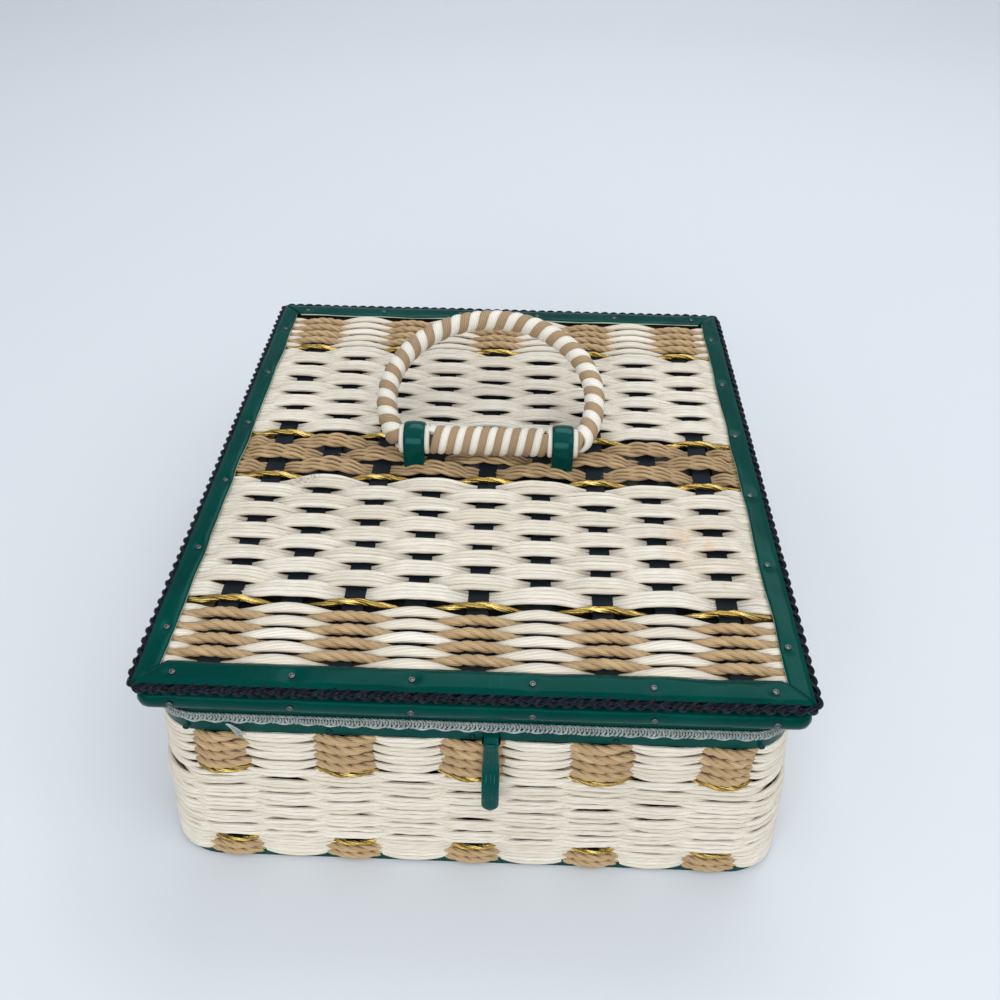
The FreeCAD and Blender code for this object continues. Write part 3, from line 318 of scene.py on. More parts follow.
def cord_nodes():
    """Lays rows of cords along a guide line: over and under the uprights, twisted, plaited or wound."""
    tree = bpy.data.node_groups.new("laid cords", "GeometryNodeTree")
    tree.interface.new_socket("Laid So Far", in_out="INPUT", socket_type="NodeSocketGeometry")
    for label, kind, value in CORD_INPUTS:
        socket = tree.interface.new_socket(label, in_out="INPUT", socket_type=kind)
        if value is not None:
            socket.default_value = value
    tree.interface.new_socket("Cords", in_out="OUTPUT", socket_type="NodeSocketGeometry")
    start = tree.nodes.new("NodeGroupInput")
    end = tree.nodes.new("NodeGroupOutput")
    given = {label: Term(tree, start.outputs[label]) for label, _, _ in CORD_INPUTS}

    def named(label, kind="FLOAT"):
        return place(tree, "GeometryNodeInputNamedAttribute", {"Name": label}, data_type=kind).outputs[0]

    def scaled(vector, amount):
        node = place(tree, "ShaderNodeVectorMath", operation="SCALE")
        feed(tree, node.inputs[0], vector)
        feed(tree, node.inputs["Scale"], amount)
        return node.outputs[0]

    def summed(*vectors):
        total = vectors[0]
        for vector in vectors[1:]:
            total = place(tree, "ShaderNodeVectorMath", {0: total, 1: vector}, operation="ADD").outputs[0]
        return total

    def kept(geometry, label, value, kind="FLOAT"):
        node = place(tree, "GeometryNodeStoreNamedAttribute", {"Geometry": geometry, "Name": label},
                     data_type=kind, domain="POINT")
        feed(tree, node.inputs["Value"], value)
        return node.outputs[0]

    guide = place(tree, "GeometryNodeObjectInfo", {"Object": start.outputs["Guide"]}).outputs["Geometry"]
    line = place(tree, "GeometryNodeMeshToCurve", {0: guide}).outputs[0]
    copies = place(tree, "GeometryNodeDuplicateElements", {
        "Geometry": line, "Amount": given["Rows"] * given["Strands"] * given["Plies"]}, domain="SPLINE")
    number = Term(tree, copies.outputs["Duplicate Index"])
    ply = number.modulo(given["Plies"])
    strand = (number / given["Plies"]).floor().modulo(given["Strands"])
    row = (number / (given["Plies"] * given["Strands"])).floor()
    count = Term(tree, named("count"))
    spot = place(tree, "GeometryNodeInputPosition").outputs[0]
    drift = []
    for part, scale in ((number * 7.31, 38.0), (number * 7.31 + 50.0, 38.0),
                        (row * 5.17 + 90.0, 30.0), (row * 9.41, 36.0)):
        cloud = place(tree, "ShaderNodeTexNoise", {
            "Vector": spot, "W": part + given["Seed"] * 3.7, "Scale": scale, "Detail": 2.0}, noise_dimensions="4D")
        drift.append((Term(tree, cloud.outputs[0]) - 0.5) * 2.0)
    strand_up, strand_out, row_up, row_along = drift
    beat = count + given["First"] + row * given["Step"] + row_along * given["Stagger"]
    swing = (beat * math.pi).cosine() * 0.5 + 0.5
    over = swing.power(given["Sharpness"])
    lifted = 1.0 - (1.0 - swing).clamped().power(given["Sharpness"]) * 2.0
    beside = strand - (given["Strands"] - 1.0) * 0.5
    spread = given["Spread Between"] + (given["Spread Over"] - given["Spread Between"]) * over
    thinned = given["Taper"] + (1.0 - given["Taper"]) * over
    angle = (count * given["Twist"] + ply / given["Plies"] + given["Twist Start"]) * (2 * math.pi)
    up = (given["Offset"] + row * given["Pitch"] + beside * spread + angle.cosine() * given["Twist Radius"] * thinned
          + angle.sine() * given["Plait Width"] + (strand_up + row_up * 1.3) * given["Unevenness"])
    rise = given["Lift"] * lifted * Term(tree, named("freedom"))
    out = (rise + angle.sine() * given["Twist Radius"] * thinned
           + (angle * 2.0).sine() * given["Plait Height"] + strand_out * given["Unevenness"] - up * given["Lean"])
    outward = named("outward", "FLOAT_VECTOR")
    stack = named("stack", "FLOAT_VECTOR")
    along = place(tree, "ShaderNodeVectorMath", {0: stack, 1: outward}, operation="CROSS_PRODUCT").outputs[0]
    moved = place(tree, "GeometryNodeSetPosition", {"Geometry": copies.outputs["Geometry"]})
    feed(tree, moved.inputs["Offset"], summed(
        scaled(outward, out), scaled(stack, up), scaled(along, angle.cosine() * given["Curl"])))
    round_way = summed(scaled(stack, angle.cosine()), scaled(outward, angle.sine()))
    faced = place(tree, "GeometryNodeSetCurveNormal", {"Curve": moved.outputs[0]}, mode="FREE")
    feed(tree, faced.inputs["Normal"], summed(scaled(outward, 1.0 - given["Wound"]), scaled(round_way, given["Wound"])))
    length = place(tree, "GeometryNodeSplineParameter").outputs["Length"]
    chance = place(tree, "FunctionNodeRandomValue", {"ID": number, "Seed": start.outputs["Seed"]}, data_type="FLOAT")
    laid = kept(faced.outputs[0], "along", length)
    laid = kept(laid, "tone", chance.outputs[1])
    laid = kept(laid, "over", lifted * 0.5 + 0.5)
    ring = place(tree, "GeometryNodeCurvePrimitiveCircle", {"Resolution": start.outputs["Sides"], "Radius": 0.5})
    section = kept(ring.outputs[0], "section", place(tree, "GeometryNodeInputPosition").outputs[0], "FLOAT_VECTOR")
    size = place(tree, "ShaderNodeCombineXYZ", {0: given["Thickness"], 1: given["Width"], 2: 1.0})
    shaped = place(tree, "GeometryNodeTransform", {"Geometry": section, "Scale": size.outputs[0]})
    tube = place(tree, "GeometryNodeCurveToMesh", {
        "Curve": laid, "Profile Curve": shaped.outputs[0], "Scale": thinned, "Fill Caps": True})
    smooth = place(tree, "GeometryNodeSetShadeSmooth", {"Geometry": tube.outputs[0]})
    solid = place(tree, "GeometryNodeRealizeInstances", {0: smooth.outputs[0]})
    coloured = place(tree, "GeometryNodeSetMaterial", {"Geometry": solid.outputs[0], "Material": start.outputs["Cord"]})
    joined = place(tree, "GeometryNodeJoinGeometry")
    tree.links.new(start.outputs["Laid So Far"], joined.inputs[0])
    tree.links.new(coloured.outputs[0], joined.inputs[0])
    tree.links.new(joined.outputs[0], end.inputs[0])
    return tree


CORDS = cord_nodes()


def settle(piece):
    """Turns what the modifiers make into a plain mesh."""
    bpy.context.view_layer.update()
    graph = bpy.context.evaluated_depsgraph_get()
    mesh = bpy.data.meshes.new_from_object(piece.evaluated_get(graph), preserve_all_data_layers=True, depsgraph=graph)
    piece.modifiers.clear()
    piece.data = mesh
    return piece


def new_piece(name, mesh):
    piece = bpy.data.objects.new(name, mesh)
    bpy.context.scene.collection.objects.link(piece)
    return piece


def lay_cords(name, layers):
    """One piece from layers of cords, each with the sizes that it is laid with."""
    piece = new_piece(name, bpy.data.meshes.new(name))
    sockets = {item.name: item.identifier for item in CORDS.interface.items_tree if item.in_out == "INPUT"}
    for layer in layers:
        modifier = piece.modifiers.new("cords", "NODES")
        modifier.node_group = CORDS
        for label, value in layer.items():
            modifier[sockets[label.replace("_", " ").title()]] = value
    return settle(piece)


def stand_for(piece, body, slot, *names):
    """The piece moves with a body and is shown in place of CAD nodes."""
    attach(piece, body)
    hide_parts(*names)
    return piece


def fibre_group():
    """Fibres that run along a cord at a slant, its tone, painted shade where it dips under the uprights, and patches of
    grime.
    """
    tree, start, end = shader_group(
        "cord fibre",
        [("Light", "NodeSocketColor", (0.8, 0.8, 0.8, 1)), ("Dark", "NodeSocketColor", (0.5, 0.5, 0.5, 1)),
         ("Grime", "NodeSocketColor", (0.1, 0.1, 0.1, 1)), ("Slant", "NodeSocketFloat", 300.0),
         ("Fibres", "NodeSocketFloat", 9.0), ("Grime Share", "NodeSocketFloat", 0.3),
         ("Contrast", "NodeSocketFloat", 0.2)],
        [("Color", "NodeSocketColor"), ("Height", "NodeSocketFloat"), ("Fleck", "NodeSocketFloat")])
    along = Term(tree, place(tree, "ShaderNodeAttribute", attribute_name="along").outputs["Fac"])
    tone = Term(tree, place(tree, "ShaderNodeAttribute", attribute_name="tone").outputs["Fac"])
    over = Term(tree, place(tree, "ShaderNodeAttribute", attribute_name="over").outputs["Fac"])
    section = place(tree, "ShaderNodeSeparateXYZ", {
        0: place(tree, "ShaderNodeAttribute", attribute_name="section").outputs["Vector"]})
    angle = Term(tree, section.outputs[1]).reckon("ARCTAN2", Term(tree, section.outputs[0]))
    lines = (angle * Term(tree, start.outputs["Fibres"]).reckon("ROUND")
             + along * Term(tree, start.outputs["Slant"])).sine() * 0.5 + 0.5
    spot = place(tree, "ShaderNodeCombineXYZ", {
        0: Term(tree, section.outputs[0]) * 7.0 + tone * 40.0, 1: Term(tree, section.outputs[1]) * 7.0,
        2: along * 160.0})
    strand = cloudy(tree, 1.0, 4.0, spot.outputs[0])
    body = place(tree, "ShaderNodeTexCoord").outputs["Object"]
    cloud = cloudy(tree, 26.0, 5.0, body)
    shade = (strand * 1.1 - 0.25 + (tone - 0.5) * 0.5 + (lines - 0.5) * Term(tree, start.outputs["Contrast"])).clamped()
    colour = blended(tree, shade, start.outputs["Dark"], start.outputs["Light"])
    # Painted shade: the cord is darkened where it dips under an upright (from "over"), and cloudy patches of grime are
    # added; both blend towards the third colour.
    shade_and_grime = (1.0 - over).power(2.0) * 0.8 + (cloud * 2.0 - 0.95).clamped() * 0.6
    shade_and_grime = shade_and_grime * Term(tree, start.outputs["Grime Share"])
    feed(tree, end.inputs["Color"], blended(tree, shade_and_grime.clamped(), colour, start.outputs["Grime"]))
    feed(tree, end.inputs["Height"], lines * 0.55 + strand * 0.45)
    feed(tree, end.inputs["Fleck"], strand)
    return tree


CORD_FIBRE = fibre_group()


# The third colour is painted shade where a cord dips under the uprights, and also the colour of its grime patches.
def cord_finish(name, light, dark, shade_and_grime, slant, fibres, shade_and_grime_share, contrast, relief, roughness, **constants):
    material, tree, shader = finish_material(name, **constants)
    fibre = group_node(tree, CORD_FIBRE, Light=light, Dark=dark, Grime=shade_and_grime, Slant=slant, Fibres=fibres,
                       Grime_Share=shade_and_grime_share, Contrast=contrast)
    coat(tree, shader, fibre.outputs["Color"], fibre.outputs["Height"], relief, 0.0003,
         Term(tree, fibre.outputs["Fleck"]) * 0.2 + (roughness - 0.1))
    return material


cream_cord = cord_finish("cream cord", (0.89, 0.85, 0.765, 1), (0.64, 0.57, 0.46, 1), (0.22, 0.165, 0.105, 1),
                         700.0, 9.0, 0.40, 0.5, 0.9, 0.6, Sheen_Weight=0.1)
tan_cord = cord_finish("tan cord", (0.60, 0.42, 0.225, 1), (0.38, 0.245, 0.115, 1), (0.09, 0.05, 0.02, 1),
                       420.0, 8.0, 0.45, 0.5, 0.9, 0.6, Sheen_Weight=0.1)
gold_cord = cord_finish("gold cord", (0.88, 0.68, 0.24, 1), (0.30, 0.18, 0.03, 1), (0.06, 0.035, 0.008, 1),
                        900.0, 5.0, 0.35, 0.5, 0.9, 0.26, Metallic=0.9)

WALL_LAYERS = {
    "wall_lower_band": [
        dict(rows=2, plies=3, first=0.0, step=0.0, pitch=0.0042, offset=-0.0035, lift=0.0024, sharpness=1.0,
             width=0.0025, thickness=0.0022, twist=5 / 3, twist_radius=0.0008, taper=0.8, sides=6,
             cord=tan_cord, seed=3),
        dict(rows=1, strands=4, first=1.0, step=0.0, offset=-0.0006, lift=0.0020, sharpness=2.0,
             spread_over=0.0024, spread_between=0.0016, width=0.0027, thickness=0.0023, taper=0.85,
             unevenness=0.0004, cord=cream_cord, seed=5)],
    "wall_lower_gold_cord": [
        dict(rows=1, plies=2, first=0.0, offset=0.0014, lift=0.0030, width=0.0018, thickness=0.0012, twist=1.5,
             twist_radius=0.0006, wound=0.6, taper=0.8, sides=6, cord=gold_cord, seed=7)],
    "wall_white_field": [
        dict(rows=10, strands=3, first=1.0, pitch=0.00425, offset=-0.0196, lift=0.0017, sharpness=2.3,
             spread_over=0.00245, spread_between=0.0019, width=0.0026, thickness=0.0024, taper=0.95,
             unevenness=0.0013, stagger=0.10, sides=6, cord=cream_cord, seed=11)],
    "wall_upper_gold_cord": [
        dict(rows=1, plies=2, first=0.0, offset=0.0004, lift=0.0036, width=0.0020, thickness=0.0013, twist=1.5,
             twist_radius=0.00065, wound=0.6, taper=0.75, sides=6, cord=gold_cord, seed=13)],
    "wall_checker_band": [
        dict(rows=4, plies=3, first=0.0, step=0.0, pitch=0.00515, offset=-0.0077, lift=0.0030, sharpness=1.0,
             width=0.0031, thickness=0.0026, twist=5 / 3, twist_radius=0.0009, taper=0.66, unevenness=0.0002,
             stagger=0.16, sides=6, cord=tan_cord, seed=17),
        dict(rows=4, strands=2, first=1.0, step=0.0, pitch=0.00515, offset=-0.0077, lift=0.0024, sharpness=1.8,
             spread_over=0.0025, spread_between=0.0012, width=0.0028, thickness=0.0022, taper=0.75,
             unevenness=0.0007, stagger=0.16, sides=6, cord=cream_cord, seed=19),
        dict(rows=1, strands=2, first=1.0, step=0.0, offset=-0.0126, lift=0.0024, sharpness=2.5,
             spread_over=0.0023, spread_between=0.0012, width=0.0026, thickness=0.0022, taper=0.75,
             unevenness=0.0003, sides=6, cord=cream_cord, seed=21)],
}
WALL_PUSH = {"wall_lower_band": 0.0004, "wall_lower_gold_cord": 0.0002, "wall_white_field": 0.0009}
COURSE_SLOTS = {"band": "checker_weave", "checker": "checker_weave", "gold_cord": "gold_cord",
                "white_field": "cream_weave", "tan_field": "tan_weave"}


def lay_course(course, body, guide, layers, **common):
    """The cords of one woven course, in place of its CAD node."""
    laid = lay_cords(f"{course}_cords", [dict(guide=guide, **common, **layer) for layer in layers])
    stand_for(laid, body, next(slot for ending, slot in COURSE_SLOTS.items() if course.endswith(ending)), course)
    bpy.data.objects.remove(guide)


for course, layers in WALL_LAYERS.items():
    low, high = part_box(course)
    points_each = FIELD_POINTS if course == "wall_white_field" else POINTS_PER_UPRIGHT
    guide = wall_guide((low.z + high.z) / 2, WALL_PUSH.get(course, 0.0), points_each)
    lay_course(course, "base", guide, layers, lean=LEAN)

# Rim: a wood lath inside the uprights, a band of vinyl outside them, and a silver braid with looped edges
# glued over the band. Steel tacks hold the band below the braid.


def planed_wood(name, light, dark):
    material, tree, shader = finish_material(name, Roughness=0.55)
    spot = place(tree, "ShaderNodeTexCoord").outputs["Object"]
    fine = place(tree, "ShaderNodeMapping", {"Vector": spot, "Scale": (60.0, 60.0, 420.0)})
    grain = cloudy(tree, 1.0, 6.0, fine.outputs[0])
    colour = blended(tree, (grain * 2.0 - 0.5).clamped(), dark, light)
    coat(tree, shader, colour, grain, 0.25, 0.0004)
    return material


lath_wood = planed_wood("lath wood", (0.070, 0.042, 0.022, 1), (0.035, 0.020, 0.010, 1))
dress("rim_hoop", lath_wood)
dress("rim_band", green_vinyl)

silver_thread = cord_finish("silver thread", (0.52, 0.57, 0.55, 1), (0.20, 0.24, 0.23, 1), (0.07, 0.09, 0.09, 1),
                            1500.0, 4.0, 0.25, 0.4, 0.6, 0.42, Metallic=0.25, Sheen_Weight=0.2)
BRAID_PITCH = 0.0089
BRAID_REACH_X, BRAID_REACH_Y = 0.12638, 0.14438
BRAID_CORNER = 0.0204


def rim_guide(reach_x, reach_y, corner, height, pitch, steps):
    """A level line round the rim, counted in whole repeats of a pattern."""
    lengths = [2 * (reach_x - corner), corner * math.pi / 2, 2 * (reach_y - corner), corner * math.pi / 2] * 2
    total = sum(lengths)
    repeats = round(total / pitch)
    points = []
    for index in range(repeats * steps):
        run = index / (repeats * steps) * total
        leg = 0
        while run > lengths[leg]:
            run -= lengths[leg]
            leg += 1
        facing = Matrix.Rotation((leg // 2) * math.pi / 2, 3, "Z")
        half, across = (reach_x, reach_y) if (leg // 2) % 2 == 0 else (reach_y, reach_x)
        if leg % 2 == 0:
            spot = Vector((-half + corner + run, -across, 0))
            out = Vector((0, -1, 0))
        else:
            angle = -math.pi / 2 + run / corner
            out = Vector((math.cos(angle), math.sin(angle), 0))
            spot = Vector((half - corner, -across + corner, 0)) + out * corner
        points.append((facing @ spot + Vector((0, 0, height)), facing @ out, Vector((0, 0, 1)), index / steps))
    back = len(points) // 2
    return guide_line("rim guide", points[back:] + points[:back], closed=True)


low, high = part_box("rim_gimp")
guide = rim_guide(BRAID_REACH_X, BRAID_REACH_Y, BRAID_CORNER, (low.z + high.z) / 2, BRAID_PITCH, 39)
rim_braid = lay_cords("rim_braid", [
    dict(guide=guide, plies=2, twist=3.0, offset=0.0031, twist_radius=0.0003, width=0.0009, thickness=0.0008,
         sides=4, cord=silver_thread, seed=31, unevenness=0.0002),
    dict(guide=guide, twist=8.0, offset=0.0021, twist_radius=0.0010, width=0.0010, thickness=0.0008, sides=4,
         cord=silver_thread, seed=23, unevenness=0.0006),
    dict(guide=guide, twist=-5.0, offset=0.0008, twist_radius=0.0011, curl=0.0005, width=0.0011,
         thickness=0.0008, sides=4, cord=silver_thread, seed=29, unevenness=0.0007),
    dict(guide=guide, twist=1.0, offset=-0.0008, plait_width=0.0006, width=0.0012, thickness=0.0010, sides=5,
         cord=silver_thread, seed=37, unevenness=0.0005)])
bpy.data.objects.remove(guide)
FRAY_ARCH, FRAY_THREADS = 0.0008, 7
fray = []
for index in range(FRAY_THREADS):
    start = Vector((-0.0950 + 0.0003 * (index % 4), -0.1456, 0.0846))
    reach = Vector((0.0042 + 0.0007 * (index % 4), -0.0010 - 0.0002 * (index % 3), -0.0050 - 0.0006 * (index % 3)))
    points = []
    for share in (0.0, 0.25, 0.5, 0.75, 1.0):
        arch = Vector((0, 0, FRAY_ARCH)) * (1 - (2 * share - 1) ** 2)
        points.append((start + reach * share + arch, Vector((0, -1, 0)), Vector((0, 0, 1)), 0.0))
    fray.append(guide_line("fray guide", points))
loose_threads = lay_cords("loose_threads", [
    dict(guide=thread, width=0.0006, thickness=0.0003, sides=5, cord=silver_thread, seed=index)
    for index, thread in enumerate(fray)])
for thread in fray:
    bpy.data.objects.remove(thread)
with bpy.context.temp_override(active_object=rim_braid, selected_editable_objects=[rim_braid, loose_threads]):
    bpy.ops.object.join()
stand_for(rim_braid, "base", "silver_braid", "rim_gimp")


def brushed_metal(name, colour, roughness):
    material, tree, shader = finish_material(name, Metallic=1.0)
    cloud = cloudy(tree, 900.0, 3.0)
    dull = tuple(channel * 0.45 for channel in colour[:3]) + (1,)
    feed(tree, shader.inputs["Base Color"], blended(tree, (cloud * 2.0 - 0.7).clamped(), colour, dull))
    feed(tree, shader.inputs["Roughness"], cloud * 0.3 + (roughness - 0.12))
    return material


tack_steel = brushed_metal("tack steel", (0.17, 0.17, 0.165, 1), 0.25)
HEAD_RADIUS, HEAD_HEIGHT = 0.0010, 0.0004
TACK_SPACING, TACK_MARGIN = 0.045, 0.014


def tack_nodes():
    """Sets a low round head on each point, turned the way that the point faces."""
    tree = bpy.data.node_groups.new("tacks", "GeometryNodeTree")
    for label, kind in (("Places", "NodeSocketGeometry"), ("Radius", "NodeSocketFloat"), ("Height", "NodeSocketFloat"),
                        ("Steel", "NodeSocketMaterial")):
        tree.interface.new_socket(label, in_out="INPUT", socket_type=kind)
    tree.interface.new_socket("Tacks", in_out="OUTPUT", socket_type="NodeSocketGeometry")
    start = tree.nodes.new("NodeGroupInput")
    end = tree.nodes.new("NodeGroupOutput")
    ball = place(tree, "GeometryNodeMeshUVSphere", {"Segments": 16, "Rings": 10, "Radius": 1.0})
    radius = start.outputs["Radius"]
    size = place(tree, "ShaderNodeCombineXYZ", {0: radius, 1: radius, 2: start.outputs["Height"]})
    dome = place(tree, "GeometryNodeTransform", {"Geometry": ball.outputs["Mesh"], "Scale": size.outputs[0]})
    rim = place(tree, "GeometryNodeCurvePrimitiveCircle", {"Resolution": 20, "Radius": radius})
    wire = place(tree, "GeometryNodeCurvePrimitiveCircle", {"Resolution": 8, "Radius": Term(tree, radius) * 0.3})
    ring = place(tree, "GeometryNodeCurveToMesh", {"Curve": rim.outputs[0], "Profile Curve": wire.outputs[0]})
    lifted = place(tree, "ShaderNodeCombineXYZ", {2: Term(tree, start.outputs["Height"]) * 0.7})
    raised = place(tree, "GeometryNodeTransform", {"Geometry": ring.outputs[0], "Translation": lifted.outputs[0]})
    head = place(tree, "GeometryNodeJoinGeometry")
    tree.links.new(dome.outputs[0], head.inputs[0])
    tree.links.new(raised.outputs[0], head.inputs[0])
    facing = place(tree, "GeometryNodeInputNamedAttribute", {"Name": "facing"}, data_type="FLOAT_VECTOR")
    turned = place(tree, "FunctionNodeAlignRotationToVector", {"Vector": facing.outputs[0]}, axis="Z")
    heads = place(tree, "GeometryNodeInstanceOnPoints", {
        "Points": start.outputs["Places"], "Instance": head.outputs[0], "Rotation": turned.outputs[0]})
    solid = place(tree, "GeometryNodeRealizeInstances", {0: heads.outputs[0]})
    smooth = place(tree, "GeometryNodeSetShadeSmooth", {"Geometry": solid.outputs[0]})
    coloured = place(tree, "GeometryNodeSetMaterial", {
        "Geometry": smooth.outputs[0], "Material": start.outputs["Steel"]})
    tree.links.new(coloured.outputs[0], end.inputs[0])
    return tree


TACKS = tack_nodes()


def tack_places(length, margin):
    """Places along a strip, evenly spaced and clear of both ends."""
    free = length - 2 * margin
    count = max(2, int(free / TACK_SPACING) + 1)
    return [-free / 2 + free * index / (count - 1) for index in range(count)]


def band_tacks(reach_x, reach_y, level):
    spots = [((along, -reach_y, level), (0, -1, 0)) for along in tack_places(2 * reach_x, TACK_MARGIN)]
    for way in (-1, 1):
        spots.extend(((way * reach_x, along, level), (way, 0, 0)) for along in tack_places(2 * reach_y, TACK_MARGIN))
    return spots


def drive_tacks(name, node, body, spots, finish):
    mesh = bpy.data.meshes.new(name)
    mesh.from_pydata([spot for spot, _ in spots], [], [])
    facing = mesh.attributes.new("facing", "FLOAT_VECTOR", "POINT")
    facing.data.foreach_set("vector", [number for _, way in spots for number in way])
    piece = new_piece(name, mesh)
    modifier = piece.modifiers.new("tacks", "NODES")
    modifier.node_group = TACKS
    values = {"Radius": HEAD_RADIUS, "Height": HEAD_HEIGHT, "Steel": finish}
    for item in TACKS.interface.items_tree:
        if item.in_out == "INPUT" and item.name in values:
            modifier[item.identifier] = values[item.name]
    stand_for(settle(piece), body, "tack_steel", node)


painted_steel = brushed_metal("painted steel", (0.02, 0.07, 0.06, 1), 0.35)
drive_tacks("rim_tack_heads", "rim_tacks", "base", band_tacks(0.125784, 0.143784, 0.0798), painted_steel)

# Lining: padded satin panels round the walls and on the floor, puffed up over a thin filling.
# Each is pinned along its back and swells towards the room inside.


def satin(name, light, dark):
    material, tree, shader = finish_material(name, Roughness=0.34, Sheen_Weight=0.4, Sheen_Roughness=0.35)
    spot = place(tree, "ShaderNodeTexCoord").outputs["Object"]
    stretch = place(tree, "ShaderNodeMapping", {"Vector": spot, "Scale": (1500.0, 1500.0, 160.0)})
    thread = cloudy(tree, 1.0, spot=stretch.outputs[0])
    cloud = cloudy(tree, 30.0, 3.0, spot)
    colour = blended(tree, (thread * 0.5 + cloud * 0.5).clamped(), dark, light)
    coat(tree, shader, colour, thread, 0.12, 0.0003)
    return material


sage_satin = satin("sage satin", (0.42, 0.56, 0.48, 1), (0.26, 0.38, 0.32, 1))
PUFF_CAP = 0.0016


def smooth_piece(name, work, *finishes):
    """A piece from a finished mesh, shaded smooth."""
    mesh = bpy.data.meshes.new(name)
    work.to_mesh(mesh)
    work.free()
    for polygon in mesh.polygons:
        polygon.use_smooth = True
    for finish in finishes:
        mesh.materials.append(finish)
    return new_piece(name, mesh)


def puffed_panel(name, node, body, axis, way, reach):
    """A panel that fills its place, flat on the back and swollen on the side that one axis names."""
    low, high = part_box(node)
    low -= Vector(reach)
    high += Vector(reach)
    room = [low.copy(), high.copy()]
    slim = 0.45 * (high[axis] - low[axis])
    if way > 0:
        high[axis] -= slim
    else:
        low[axis] += slim
    sides = [index for index in range(3) if index != axis]
    counts = [max(2, round((high[index] - low[index]) / 0.006)) for index in sides]
    work = bmesh.new()
    sheets = []
    for level in (low[axis], high[axis]):
        rows = []
        for first in range(counts[0] + 1):
            row = []
            for second in range(counts[1] + 1):
                spot = Vector((0, 0, 0))
                spot[axis] = level
                spot[sides[0]] = low[sides[0]] + first / counts[0] * (high[sides[0]] - low[sides[0]])
                spot[sides[1]] = low[sides[1]] + second / counts[1] * (high[sides[1]] - low[sides[1]])
                row.append(work.verts.new(spot))
            rows.append(row)
        sheets.append(rows)
    for rows in sheets:
        for first in range(counts[0]):
            for second in range(counts[1]):
                work.faces.new((rows[first][second], rows[first + 1][second], rows[first + 1][second + 1],
                                rows[first][second + 1]))
    rims = []
    for rows in sheets:
        rims.append([row[0] for row in rows] + rows[-1][1:] + [row[-1] for row in rows[-2::-1]] + rows[0][-2:0:-1])
    for index in range(len(rims[0])):
        ahead = (index + 1) % len(rims[0])
        work.faces.new((rims[0][index], rims[0][ahead], rims[1][ahead], rims[1][index]))
    bmesh.ops.recalc_face_normals(work, faces=work.faces)
    panel = smooth_piece(name, work, sage_satin)
    mesh = panel.data
    back = low[axis] if way > 0 else high[axis]
    rim_places = [vertex.index for vertex in mesh.vertices if abs(vertex.co[axis] - back) < 1e-6 or any(
        min(vertex.co[side] - low[side], high[side] - vertex.co[side]) < 1e-6 for side in sides)]
    start = [vertex.co.copy() for vertex in mesh.vertices]
    panel.vertex_groups.new(name="pinned").add(rim_places, 1.0, "REPLACE")
    cloth = panel.modifiers.new("cloth", "CLOTH")
    cloth.settings.vertex_group_mass = "pinned"
    cloth.settings.quality = 4
    cloth.settings.mass = 0.15
    cloth.settings.tension_stiffness = 6.0
    cloth.settings.compression_stiffness = 6.0
    cloth.settings.shear_stiffness = 3.0
    cloth.settings.bending_stiffness = 0.2
    cloth.settings.use_pressure = True
    cloth.settings.uniform_pressure_force = 4.0
    cloth.settings.effector_weights.gravity = 0.0
    cloth.settings.shrink_min = -0.06
    cloth.collision_settings.use_collision = False
    cloth.point_cache.frame_start = 1
    cloth.point_cache.frame_end = 20
    for step in range(1, 21):
        bpy.context.scene.frame_set(step)
    graph = bpy.context.evaluated_depsgraph_get()
    swollen = panel.evaluated_get(graph).to_mesh()
    for vertex, moved, rest in zip(mesh.vertices, swollen.vertices, start):
        shift = moved.co - rest
        if shift.length > PUFF_CAP:
            shift *= PUFF_CAP / shift.length
        spot = rest + shift
        vertex.co = [min(max(spot[index], room[0][index]), room[1][index]) for index in range(3)]
    panel.modifiers.clear()
    panel.vertex_groups.clear()
    bpy.context.scene.frame_set(1)
    soft = panel.modifiers.new("soft", "SUBSURF")
    soft.levels = soft.render_levels = 1
    settle(panel)
    stand_for(panel, body, "satin", node)


for node, axis, way, reach in (("lining_front", 1, 1, (0.0020, 0, 0)), ("lining_back", 1, -1, (0.0020, 0, 0)),
                               ("lining_left", 0, 1, (0, 0.0026, 0)), ("lining_right", 0, -1, (0, 0.0026, 0)),
                               ("bottom_pad", 2, 1, (0.0016, 0.0016, 0))):
    puffed_panel(f"{node}_satin", node, "base", axis, way, reach)

# Hinges at the back: strips of vinyl rolled round steel wire, tacked to the rim and to the lid.
# The base strip turns between the two strips of the lid.

HINGE_X, LEAF_X = 0.070, 0.0104
wire_steel = brushed_metal("wire steel", (0.60, 0.60, 0.58, 1), 0.32)
dress("hinge_base_straps", green_vinyl)
dress("hinge_lid_straps", green_vinyl)
dress("hinge_pins", wire_steel)
drive_tacks("hinge_base_tack_heads", "hinge_base_tacks", "base",
            [((way * HINGE_X, 0.146384, 0.0859), (0, 1, 0)) for way in (-1, 1)], tack_steel)
drive_tacks("hinge_lid_tack_heads", "hinge_lid_tacks", "lid",
            [((side * HINGE_X + way * LEAF_X, 0.1477, 0.09625), (0, 1, 0)) for side in (-1, 1) for way in (-1, 1)],
            tack_steel)

# Pull loop: a soft strip of vinyl doubled over a wire staple below the braid, its two legs pressed together.
# The legs part in a groove, and the fold at the end is round.

LOOP_X, LOOP_AXIS_Y, LOOP_AXIS_Z = 0.0075, -0.147684, 0.0795
LOOP_HALF, LOOP_LENGTH, LOOP_STATIONS, LOOP_SIDES = 0.0035, 0.0318, 48, 32
LOOP_TOP, LEG_DEPTH, FOLD_LENGTH, LOOP_BEND = 0.00172, 0.0016, 0.0020, 0.0050
soft_vinyl = vinyl("soft vinyl", (0.0, 0.046, 0.039, 1), (0.0, 0.030, 0.026, 1), (0.01, 0.07, 0.06, 1), 0.16, 0.0,
                   0.30, (0.25, 0.90, 0.80, 1))
dark_wire = brushed_metal("dark wire", (0.03, 0.045, 0.042, 1), 0.4)


